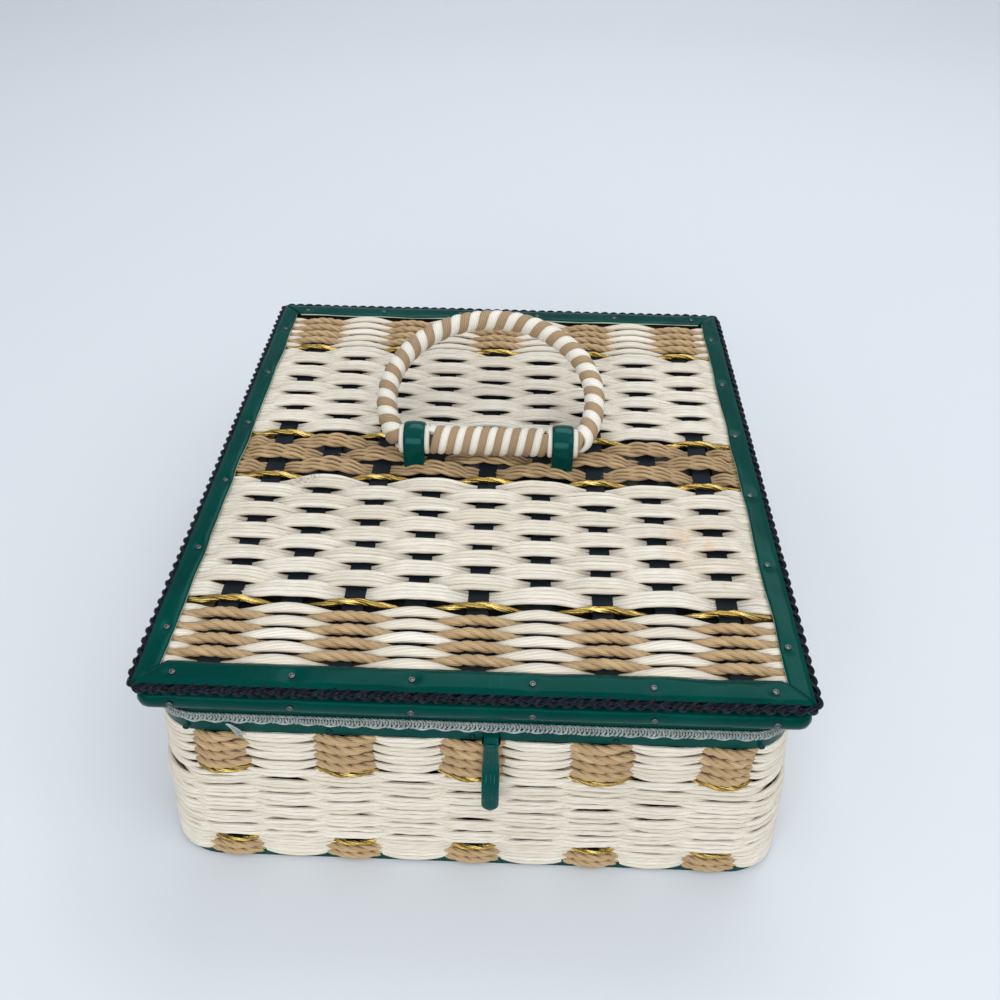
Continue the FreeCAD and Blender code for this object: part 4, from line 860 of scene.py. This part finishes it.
def wire_staple(name):
    """A thin wire through the loop, with both ends bent back into the rim, below a tongue of vinyl."""
    points = []
    for across, depth in ((-0.0032, 0.0065), (-0.0032, 0.0012), (-0.0026, 0.0),
                          (0.0026, 0.0), (0.0032, 0.0012), (0.0032, 0.0065)):
        spot = Vector((LOOP_X + across, LOOP_AXIS_Y + depth, LOOP_AXIS_Z))
        points.append((spot, Vector((0, 0, 1)), Vector((0, 0, 1)), 0.0))
    guide = guide_line("staple guide", points)
    tongue = []
    for depth, level, slope in ((0.0038, 0.0040, 0.05), (0.0024, 0.0039, 0.12), (0.0010, 0.0036, 0.30),
                                (0.0000, 0.0031, 0.55), (-0.0008, 0.0025, 0.8)):
        spot = Vector((LOOP_X, LOOP_AXIS_Y + depth, LOOP_AXIS_Z + level))
        tongue.append((spot, Vector((0, -math.sin(slope), math.cos(slope))), Vector((1, 0, 0)), 0.0))
    cover = guide_line("tongue guide", tongue)
    wire = lay_cords(name, [dict(guide=guide, width=0.0010, thickness=0.0010, sides=8, cord=dark_wire),
                            dict(guide=cover, width=0.0058, thickness=0.0011, sides=16, cord=soft_vinyl)])
    bpy.data.objects.remove(guide)
    bpy.data.objects.remove(cover)
    return wire


stand_for(wire_staple("staple_wire"), "base", "wire", "pull_staple")


def skinned(name, rings, *finishes, closed=False, edge=None):
    """A skin over rings of points, capped or closed on itself; one strip of it may show the second finish."""
    work = bmesh.new()
    loops = [[work.verts.new(point) for point in ring] for ring in rings]
    for one, two in zip(loops, loops[1:] + (loops[:1] if closed else [])):
        for index in range(len(one)):
            ahead = (index + 1) % len(one)
            face = work.faces.new((one[index], one[ahead], two[ahead], two[index]))
            face.material_index = int(index == edge)
    if not closed:
        work.faces.new(loops[0])
        work.faces.new(loops[-1])
    bmesh.ops.recalc_face_normals(work, faces=work.faces)
    return smooth_piece(name, work, *finishes)


def pull_strip():
    """Two round legs side by side, folded over the wire and joined at the lower end."""
    turned = Matrix.Rotation(-math.atan(LEAN), 3, "X")
    axis = Vector((LOOP_X, LOOP_AXIS_Y, LOOP_AXIS_Z))
    rings = []
    for station in range(LOOP_STATIONS + 1):
        share = (station / LOOP_STATIONS) ** 1.35
        drop = share * (LOOP_LENGTH + LOOP_TOP) - LOOP_TOP
        left = LOOP_LENGTH - drop
        wide = LOOP_HALF * (0.80 + 0.20 * min(1.0, share / 0.45))
        if left < LOOP_HALF:
            wide *= math.sqrt(max(0.0, 1 - ((LOOP_HALF - left) / LOOP_HALF) ** 2)) * 0.97 + 0.03
        deep = LEG_DEPTH
        if drop < LOOP_TOP:
            deep = max(LEG_DEPTH if drop > 0 else 0.0001, math.sqrt(max(0.0, LOOP_TOP * LOOP_TOP - drop * drop)))
        if left < FOLD_LENGTH:
            deep *= 0.4 + 0.6 * left / FOLD_LENGTH
        turn = min(1.0, max(0.0, (share - 0.30) / 0.42))
        bulge = LOOP_BEND * turn * turn * (3 - 2 * turn)
        groove = 0.75 * min(1.0, max(0.0, (0.92 - share) / 0.12)) * min(1.0, share / 0.12)
        ring = []
        for index in range(LOOP_SIDES):
            angle = 2 * math.pi * index / LOOP_SIDES
            across = math.cos(angle)
            pinch = 1 - groove * math.exp(-(across / 0.24) ** 2)
            ring.append(turned @ Vector((wide * across, deep * math.sin(angle) * pinch - bulge, -drop)) + axis)
        rings.append(ring)
    return skinned("pull_strip", rings, soft_vinyl)


stand_for(pull_strip(), "pull", "green_vinyl", "pull_loop")

# Lid frame: four planed rails, mitred at the corners, with a hardboard panel let in below the weave.
# The panel of padded satin closes the lid on the inside.

for side in ("front", "back", "left", "right"):
    dress(f"lid_{side}_rail", lath_wood)
dress("lid_backing_board", planed_wood("dark hardboard", (0.022, 0.022, 0.026, 1), (0.010, 0.010, 0.013, 1)))
puffed_panel("lid_pad_satin", "lid_pad", "lid", 2, -1, (0, 0, 0))

# Lid weave: dark strips run from front to back, and rows of cords cross them over and under.
# Cream rows of four cords part round the strips, with tan ropes, single cords and gold at the borders.

dress("lid_stakes", strip_cloth("lid strip", "Y", "X"))
LID_LEVEL = 0.1046


def stain_group():
    """A patchy mark about one place."""
    tree, start, end = shader_group(
        "stain",
        [("Centre", "NodeSocketVector", (0, 0, 0)), ("Radius", "NodeSocketFloat", 0.01),
         ("Grain", "NodeSocketFloat", 200.0), ("Cover", "NodeSocketFloat", 0.5)],
        [("Mask", "NodeSocketFloat")])
    spot = place(tree, "ShaderNodeTexCoord").outputs["Object"]
    away = place(tree, "ShaderNodeVectorMath", {0: spot, 1: start.outputs["Centre"]}, operation="DISTANCE")
    cloud = cloudy(tree, start.outputs["Grain"], 3.0, spot)
    near = (1.0 - Term(tree, away.outputs["Value"]) / Term(tree, start.outputs["Radius"])).clamped()
    patch = ((cloud + Term(tree, start.outputs["Cover"]) - 1.0) * 6.0).clamped()
    feed(tree, end.inputs["Mask"], patch * near.power(0.7))
    return tree


STAIN = stain_group()


def stained(name, material, marks):
    """The same finish with marks on it."""
    marked = material.copy()
    marked.name = name
    tree = marked.node_tree
    base = tree.nodes["Principled BSDF"].inputs["Base Color"]
    for centre, radius, grain, cover, strength, tint in marks:
        mark = group_node(tree, STAIN, Centre=centre, Radius=radius, Grain=grain, Cover=cover)
        feed(tree, base, blended(tree, Term(tree, mark.outputs[0]) * strength, base.links[0].from_socket, tint))
    return marked


marked_cream = stained("marked cream cord", cream_cord, [
    ((-0.085, -0.021, 0.1075), 0.008, 900.0, 0.52, 0.9, (0.09, 0.045, 0.02, 1)),
    ((0.092, -0.061, 0.1075), 0.017, 110.0, 0.60, 0.55, (0.72, 0.40, 0.20, 1)),
    ((0.104, -0.078, 0.1065), 0.020, 160.0, 0.52, 0.35, (0.50, 0.36, 0.22, 1)),
    ((-0.108, -0.062, 0.1065), 0.024, 140.0, 0.50, 0.25, (0.46, 0.38, 0.28, 1))])
LID_REACH = 0.1222


def lid_guide(middle, raised):
    """A straight line across the lid at one depth, a little above the middle of the strips where the cords arch."""
    points = []
    steps = round(2 * LID_REACH / UPRIGHT_PITCH * POINTS_PER_UPRIGHT)
    for step in range(steps + 1):
        across = -LID_REACH + 2 * LID_REACH * step / steps
        freedom = min(1.0, max(0.0, (0.1175 - abs(across)) / 0.006))
        points.append((Vector((across, middle, LID_LEVEL + raised * freedom)), Vector((0, 0, 1)), Vector((0, 1, 0)),
                       across / UPRIGHT_PITCH, freedom))
    return guide_line("lid guide", points)


def checker_layers(way):
    """Four tan ropes and five cream cords, the last cream one beside the binding."""
    return [
        dict(rows=4, plies=3, first=0.0, step=0.0, pitch=way * 0.0070, offset=way * -0.0105, lift=0.0017,
             width=0.0030, thickness=0.0026, twist=1.6, twist_radius=0.0010, taper=0.62, unevenness=0.0004,
             stagger=0.06, cord=tan_cord, seed=41),
        dict(rows=5, first=1.0, step=0.0, pitch=way * 0.0070, offset=way * -0.0141, lift=0.0017, width=0.0053,
             thickness=0.0031, taper=0.42, unevenness=0.0005, stagger=0.06, sides=12, cord=cream_cord, seed=43)]


def gold_layers():
    return [dict(rows=1, plies=2, first=0.0, lift=0.0021, width=0.0024, thickness=0.0015, twist=1.25,
                 twist_radius=0.0008, wound=0.6, taper=0.68, unevenness=0.0003, cord=gold_cord, seed=47)]


def white_layers(seed):
    return [dict(rows=11, strands=4, first=1.0, pitch=0.00705, offset=-0.03525, lift=0.0021, sharpness=1.5,
                 spread_over=0.0021, spread_between=0.0019, width=0.0025, thickness=0.0023, taper=0.92,
                 unevenness=0.0011, stagger=0.08, sides=8, cord=marked_cream, seed=seed)]


LID_LAYERS = {
    "lid_front_checker": (-0.1177, checker_layers(-1)),
    "lid_front_gold_cord": (-0.0992, gold_layers()),
    "lid_front_white_field": (-0.0580, white_layers(53)),
    "lid_mid_front_gold_cord": (-0.0168, gold_layers()),
    "lid_tan_field": (0.0, [
        dict(rows=3, strands=3, plies=2, first=1.0, pitch=0.0096, offset=-0.0096, lift=0.0023, sharpness=1.2,
             spread_over=0.0031, spread_between=0.0024, width=0.0020, thickness=0.0019, twist=1.3,
             twist_radius=0.0009, taper=0.95, unevenness=0.0007, stagger=0.06, sides=6, cord=tan_cord, seed=59)]),
    "lid_mid_back_gold_cord": (0.0168, gold_layers()),
    "lid_back_white_field": (0.0580, white_layers(61)),
    "lid_back_gold_cord": (0.0992, gold_layers()),
    "lid_back_checker": (0.1177, checker_layers(1)),
}
FIELD_ARCH = 0.0009
for course, (middle, layers) in LID_LAYERS.items():
    guide = lid_guide(middle, FIELD_ARCH if course.endswith("field") else 0.0)
    lay_course(course, "lid", guide, layers)

# Bindings: strips of vinyl over the edge of the weave, mitred at the corners, pulled down by tacks.
# They lie in soft waves between the tacks, with a rolled outer edge.

BINDING_WIDTH, NARROW_WIDTH, BINDING_TOP, BINDING_BOTTOM = 0.0107, 0.0086, 0.1076, 0.1062
HALF_X, HALF_Y = 0.127, 0.145
BINDING_STATIONS, DIMPLE_REACH, TACK_SINK = 150, 0.0030, 0.0006
TACK_LINE_X = HALF_X - BINDING_WIDTH / 2
TACK_LINE_Y = HALF_Y - BINDING_WIDTH / 2
top_tacks = [((along, way * TACK_LINE_Y, BINDING_TOP), (0, 0, 1))
             for way in (-1, 1) for along in tack_places(2 * HALF_X, TACK_MARGIN)]
top_tacks += [((way * TACK_LINE_X, along, BINDING_TOP), (0, 0, 1))
              for way in (-1, 1) for along in tack_places(2 * HALF_Y - 2 * TACK_MARGIN, TACK_MARGIN)]
cut_edge = vinyl("cut vinyl edge", (0.52, 0.58, 0.46, 1), (0.30, 0.38, 0.30, 1), (0.6, 0.62, 0.52, 1), 0.5, 0.1,
                 0.3, (1.0, 1.0, 1.0, 1))


def dimple(spot, tacks, depth, reach):
    """How far the nearest tacks pull a point of the vinyl in."""
    return sum(depth * math.exp(-((spot - Vector(place_of)).length / reach) ** 2) for place_of, _ in tacks)


def binding_strip(name, half, far, width, facing, seed):
    """One strip along a side of the lid, both ends cut at 45 degrees."""
    turn = Matrix.Rotation(facing, 3, "Z")
    profile = []
    for index in range(9):
        share = index / 8
        profile.append((share * width, BINDING_TOP - 0.0005 * (2 * share - 1) ** 4 - 0.0003 * (share < 0.02)))
    lower = [(share * width, BINDING_BOTTOM + 0.0001) for share in (1.0, 0.75, 0.5, 0.25, 0.0)]
    outline = profile + [(width, BINDING_TOP - 0.0011)] + lower + [(-0.0002, BINDING_TOP - 0.0008)]
    rings = []
    for station in range(BINDING_STATIONS + 1):
        share = station / BINDING_STATIONS * 2 - 1
        ring = []
        wander = noise.noise(Vector((share * half * 45.0, seed, 2.0))) * 0.0009
        for inset, level in outline:
            along = share * (half - inset)
            inset += max(-0.0004, wander) * max(0.0, inset / width - 0.5) * 2
            spot = turn @ Vector((along, -far + inset, level))
            wave = noise.noise(Vector((along * 34.0, inset * 60.0, seed))) * 0.00035
            wave += noise.noise(Vector((along * 110.0, inset * 150.0, seed + 9.0))) * 0.00014
            if level > BINDING_BOTTOM + 0.0004:
                spot.z += wave - dimple(spot, top_tacks, 0.0007, DIMPLE_REACH)
            ring.append(spot)
        rings.append(ring)
    return skinned(name, rings, green_vinyl, cut_edge, edge=len(profile) - 1)


for side, half, far, width, facing, seed in (
        ("front", HALF_X, HALF_Y, BINDING_WIDTH, 0, 3.1),
        ("right", HALF_Y, HALF_X, NARROW_WIDTH, math.pi / 2, 17.7),
        ("back", HALF_X, HALF_Y, BINDING_WIDTH, math.pi, 29.3),
        ("left", HALF_Y, HALF_X, NARROW_WIDTH, -math.pi / 2, 41.9)):
    strip = binding_strip(f"{side}_binding_strip", half, far, width, facing, seed)
    stand_for(strip, "lid", "green_vinyl", f"{side}_binding")
drive_tacks("lid_top_tack_heads", "lid_top_tacks", "lid",
            [((spot[0], spot[1], spot[2] - TACK_SINK), facing) for spot, facing in top_tacks], tack_steel)

# Edge cord and side band: a plait of dark glossy cord round the lid, and below it a rolled band of vinyl.
# The band is tacked to the rails along the front and the sides.

dark_plait = cord_finish("dark plait", (0.010, 0.013, 0.020, 1), (0.001, 0.002, 0.004, 1), (0.001, 0.001, 0.002, 1),
                         700.0, 5.0, 0.2, 0.8, 1.0, 0.24, Specular_IOR_Level=0.14, Specular_Tint=(0.7, 0.85, 1.0, 1))
PLAIT_X, PLAIT_Y, PLAIT_CORNER = 0.1283, 0.1460, 0.0040
PLAIT_LEVEL, PLAIT_PITCH, PLAIT_SET_BACK = 0.1044, 0.0160, 0.0007
guide = rim_guide(PLAIT_X, PLAIT_Y, PLAIT_CORNER, PLAIT_LEVEL, PLAIT_PITCH, 30)
for vertex in guide.data.vertices:
    vertex.co.y += PLAIT_SET_BACK
edge_plait = lay_cords("edge_plait", [
    dict(guide=guide, plies=3, twist=1.0, plait_width=0.0013, plait_height=0.0010, width=0.0025,
         thickness=0.0023, sides=7, unevenness=0.0004, cord=dark_plait, seed=67),
    dict(guide=guide, plies=1, width=0.0034, thickness=0.0026, sides=6, cord=dark_plait, seed=71)])
stand_for(edge_plait, "lid", "dark_plait", "lid_edge_cord")
bpy.data.objects.remove(guide)

BAND_X, BAND_Y, BAND_CORNER = 0.1285, 0.1465, 0.0052
BAND_BOTTOM, BAND_HEIGHT, BAND_DEPTH = 0.0920, 0.0077, 0.0049
side_tacks = band_tacks(BAND_X, BAND_Y, BAND_BOTTOM + 0.0039)


def rolled_band(name):
    """A closed band with a round outer face, pulled in at its tacks."""
    outline = []
    for index in range(11):
        angle = math.pi * (index / 10 - 0.5)
        outline.append((0.0022 * (math.cos(angle) - 1.0), BAND_HEIGHT * 0.5 * (1 + math.sin(angle))))
    outline += [(-BAND_DEPTH, BAND_HEIGHT), (-BAND_DEPTH, BAND_HEIGHT * 0.5), (-BAND_DEPTH, 0.0)]
    guide = rim_guide(BAND_X, BAND_Y, BAND_CORNER, BAND_BOTTOM, 0.0026, 1)
    spots = [vertex.co.copy() for vertex in guide.data.vertices][:-1]
    outs = [Vector(item.vector) for item in guide.data.attributes["outward"].data][:-1]
    bpy.data.objects.remove(guide)
    rings = []
    for spot, out in zip(spots, outs):
        ring = []
        for reach, level in outline:
            point = spot + out * reach + Vector((0, 0, level))
            if reach > -0.004:
                wave = noise.noise(point * 32.0) * 0.00035 + noise.noise(point * 90.0) * 0.00012
                point += out * (wave - 0.0002 - dimple(point, side_tacks, 0.0006, DIMPLE_REACH))
            ring.append(point)
        rings.append(ring)
    return skinned(name, rings, green_vinyl, closed=True)


stand_for(rolled_band("side_band_roll"), "lid", "green_vinyl", "lid_side_band")
drive_tacks("lid_side_tack_heads", "lid_side_tacks", "lid",
            [(tuple(Vector(spot) - Vector(facing) * 0.0007), facing) for spot, facing in side_tacks], tack_steel)

# Handle: a bent wire ring with a sleeve on its straight side, wound in two flat cords of tan and cream.
# Two vinyl straps over the ends of the grip hold it to the lid and let it turn.

dress("handle_core", wire_steel)
dress("grip_sleeve", lath_wood)
HANDLE_LEVEL, HANDLE_TILT = 0.1168, math.radians(18.0)
BOW_RADIUS, BOW_OFFSET, BEND_RADIUS, BEND_X = 0.0508, 0.0265, 0.006, 0.039835
GRIP_HALF = 0.029035
wound_tan = cord_finish("wound tan", (0.47, 0.325, 0.185, 1), (0.30, 0.195, 0.10, 1), (0.10, 0.06, 0.03, 1),
                        90.0, 16.0, 0.25, 1.3, 1.0, 0.66, Sheen_Weight=0.1)
wound_cream = cord_finish("wound cream", (0.88, 0.85, 0.79, 1), (0.74, 0.69, 0.60, 1), (0.30, 0.24, 0.16, 1),
                          90.0, 14.0, 0.2, 0.9, 1.0, 0.56, Sheen_Weight=0.1)


def handle_guide(line, steps):
    """A part of the ring's middle line, tilted as the handle lies."""
    tilt = Matrix.Rotation(HANDLE_TILT, 3, "X")
    points = []
    for step in range(steps + 1):
        share = step / steps
        spot, out = line(share)
        points.append((tilt @ spot + Vector((0, 0, HANDLE_LEVEL)), tilt @ out, tilt @ Vector((0, 0, 1)), share))
    return guide_line("handle guide", points)


def grip_line(share):
    return Vector(((2 * share - 1) * (GRIP_HALF - 0.0017), 0, 0)), Vector((0, -1, 0))


BOW_MEET = math.atan2(BEND_RADIUS - BOW_OFFSET, BEND_X)
RING_START = 0.0372
RING_PARTS = (BEND_X - RING_START, BEND_RADIUS * (BOW_MEET + math.pi / 2), BOW_RADIUS * (math.pi - 2 * BOW_MEET))


def ring_line(share):
    """From the right strap round the bend, the bow and the other bend to the left strap."""
    straight, bend, bow = RING_PARTS
    run = share * (2 * straight + 2 * bend + bow)
    way = 1.0
    if run > straight + bend + bow / 2:
        run = 2 * straight + 2 * bend + bow - run
        way = -1.0
    if run < straight:
        return Vector((way * (RING_START + run), 0, 0)), Vector((0, -1, 0))
    if run < straight + bend:
        angle = -math.pi / 2 + (run - straight) / BEND_RADIUS
        out = Vector((way * math.cos(angle), math.sin(angle), 0))
        return Vector((way * BEND_X, BEND_RADIUS, 0)) + out * BEND_RADIUS, out
    angle = BOW_MEET + (run - straight - bend) / BOW_RADIUS
    out = Vector((way * math.cos(angle), math.sin(angle), 0))
    return Vector((0, BOW_OFFSET, 0)) + out * BOW_RADIUS, out


for name, line, turns, steps, radius, width, node in (
        ("grip", grip_line, -7.5, 220, 0.00545, 0.0041, "grip_wrap"),
        ("bow", ring_line, -22.0, 640, 0.00365, 0.0056, "bow_wrap")):
    guide = handle_guide(line, steps)
    for colour, begin, finish, slot in (("tan", 0.5, wound_tan, "tan_weave"),
                                        ("cream", 0.0, wound_cream, "cream_weave")):
        wound = lay_cords(f"{name}_winding_{colour}", [
            dict(guide=guide, twist=turns, twist_start=begin, twist_radius=radius, wound=1.0, width=width,
                 thickness=0.0030, unevenness=0.00012, sides=12, cord=finish, seed=73)])
        stand_for(wound, "handle", slot, f"{node}_{colour}")
    bpy.data.objects.remove(guide)


def collar_guide(across):
    """A ring about the middle line of the grip."""
    points = []
    for step in range(40):
        angle = 2 * math.pi * step / 40
        out = Vector((0, math.cos(angle), math.sin(angle)))
        points.append((Vector((across, 0, HANDLE_LEVEL)) + out * 0.0056, out, Vector((1, 0, 0)), 0.0))
    return guide_line("collar guide", points, closed=True)


collar_guides = [collar_guide(way * across) for way in (-1, 1) for across in (0.0293, 0.0320, 0.0350, 0.0380, 0.0408)]
stand_for(lay_cords("handle_collar_rings", [
    dict(guide=guide, width=0.0031, thickness=0.0029, sides=12, cord=wound_cream, seed=79) for guide in collar_guides]),
    "handle", "handle_end", "handle_collars")
for guide in collar_guides:
    bpy.data.objects.remove(guide)
STRAP_INNER, STRAP_SWELL, STRAP_FOOT = 0.00740, 0.0013, 0.0985
STRAP_X, STRAP_HALF = 0.035035, 0.0050


def swollen_strap(name, middle, half):
    """A strap over the grip, swollen across its width, with both legs down through the weave."""
    stations = [math.sin(math.pi / 2 * (index / 8 - 1)) for index in range(17)]
    section = [(share, STRAP_INNER + 0.0001 + STRAP_SWELL * (1 - share * share) ** 0.35) for share in stations]
    section += [(share, STRAP_INNER) for share in stations[-2:0:-1]]
    turns = [(-1.0, 0.0, STRAP_FOOT - HANDLE_LEVEL)] + [(-1.0, 0.0, -0.0015 * (6 - index)) for index in range(6)]
    turns += [(-math.cos(math.pi * index / 20), math.sin(math.pi * index / 20), 0.0) for index in range(21)]
    turns += [(1.0, 0.0, -0.0015 * (index + 1)) for index in range(6)] + [(1.0, 0.0, STRAP_FOOT - HANDLE_LEVEL)]
    rings = [[(middle + share * half, reach * depth, HANDLE_LEVEL + reach * lift + drop) for share, reach in section]
             for depth, lift, drop in turns]
    return skinned(name, rings, soft_vinyl)


for side, middle in (("left", -STRAP_X), ("right", STRAP_X)):
    stand_for(swollen_strap(f"{side}_strap", middle, STRAP_HALF), "lid", "green_vinyl", f"handle_strap_{side}")

# Studio: a pale seamless sheet behind and under the basket, with soft lights from behind, from the right
# and from the front. The camera looks down on the front of the lid.

SWEEP_START, SWEEP_RADIUS = 1.2, 1.0


def seamless(name):
    work = bmesh.new()
    outline = [(-9.0, 0.0), (SWEEP_START, 0.0)]
    for index in range(1, 13):
        angle = index / 12 * math.pi / 2
        outline.append((SWEEP_START + SWEEP_RADIUS * math.sin(angle), SWEEP_RADIUS - SWEEP_RADIUS * math.cos(angle)))
    outline.append((SWEEP_START + SWEEP_RADIUS, 4.0))
    rows = [[work.verts.new((across, depth, level)) for depth, level in outline] for across in (-8.0, 8.0)]
    for index in range(len(outline) - 1):
        work.faces.new((rows[0][index], rows[1][index], rows[1][index + 1], rows[0][index + 1]))
    return smooth_piece(name, work, paper)


paper, _, _ = finish_material("seamless paper", Roughness=0.9, Base_Color=(0.64, 0.67, 0.71, 1))
sheet = seamless("seamless_sheet")

world = bpy.data.worlds.new("studio")
bpy.context.scene.world = world
world.use_nodes = True
sky = world.node_tree
sky.nodes["Background"].inputs["Color"].default_value = (0.90, 0.95, 1.0, 1)
height = place(sky, "ShaderNodeSeparateXYZ", {0: place(sky, "ShaderNodeTexCoord").outputs["Generated"]})
feed(sky, sky.nodes["Background"].inputs["Strength"], Term(sky, height.outputs["Z"]).clamped().power(1.3) * 0.75 + 0.30)


def soft_light(name, spot, aim, size, power, colour):
    lamp = bpy.data.lights.new(name, "AREA")
    lamp.shape = "RECTANGLE"
    lamp.size, lamp.size_y = size
    lamp.energy = power
    lamp.color = colour
    light = bpy.data.objects.new(name, lamp)
    light.location = spot
    light.rotation_euler = (Vector(aim) - Vector(spot)).to_track_quat("-Z", "Y").to_euler()
    bpy.context.scene.collection.objects.link(light)


LIGHT_AIM = (0, 0, 0.05)
soft_light("window", (0.25, 0.9, 1.5), LIGHT_AIM, (1.4, 1.0), 11.5, (1.0, 0.99, 0.97))
soft_light("room", (1.1, -0.7, 1.3), LIGHT_AIM, (1.2, 1.2), 5.5, (0.95, 0.98, 1.0))
soft_light("front", (-0.2, -1.4, 0.66), LIGHT_AIM, (1.4, 0.9), 12.5, (1.0, 0.99, 0.97))

camera = bpy.data.cameras.new("camera")
camera.sensor_width = 36.0
camera.lens = 36.0
view = bpy.data.objects.new("camera", camera)
eye = Vector((0.0158, -0.3851, 0.3968))
down, swing, roll = math.radians(39.36), math.radians(-1.49), math.radians(0.8)
ahead = Vector((math.sin(swing) * math.cos(down), math.cos(swing) * math.cos(down), -math.sin(down)))
right = Vector((math.cos(swing), -math.sin(swing), 0))
above = right.cross(ahead)
right, above = right * math.cos(roll) + above * math.sin(roll), above * math.cos(roll) - right * math.sin(roll)
view.matrix_world = Matrix((
    (right.x, above.x, -ahead.x, eye.x), (right.y, above.y, -ahead.y, eye.y),
    (right.z, above.z, -ahead.z, eye.z), (0, 0, 0, 1)))
bpy.context.scene.collection.objects.link(view)
bpy.context.scene.camera = view
bpy.context.scene.view_settings.view_transform = "Standard"
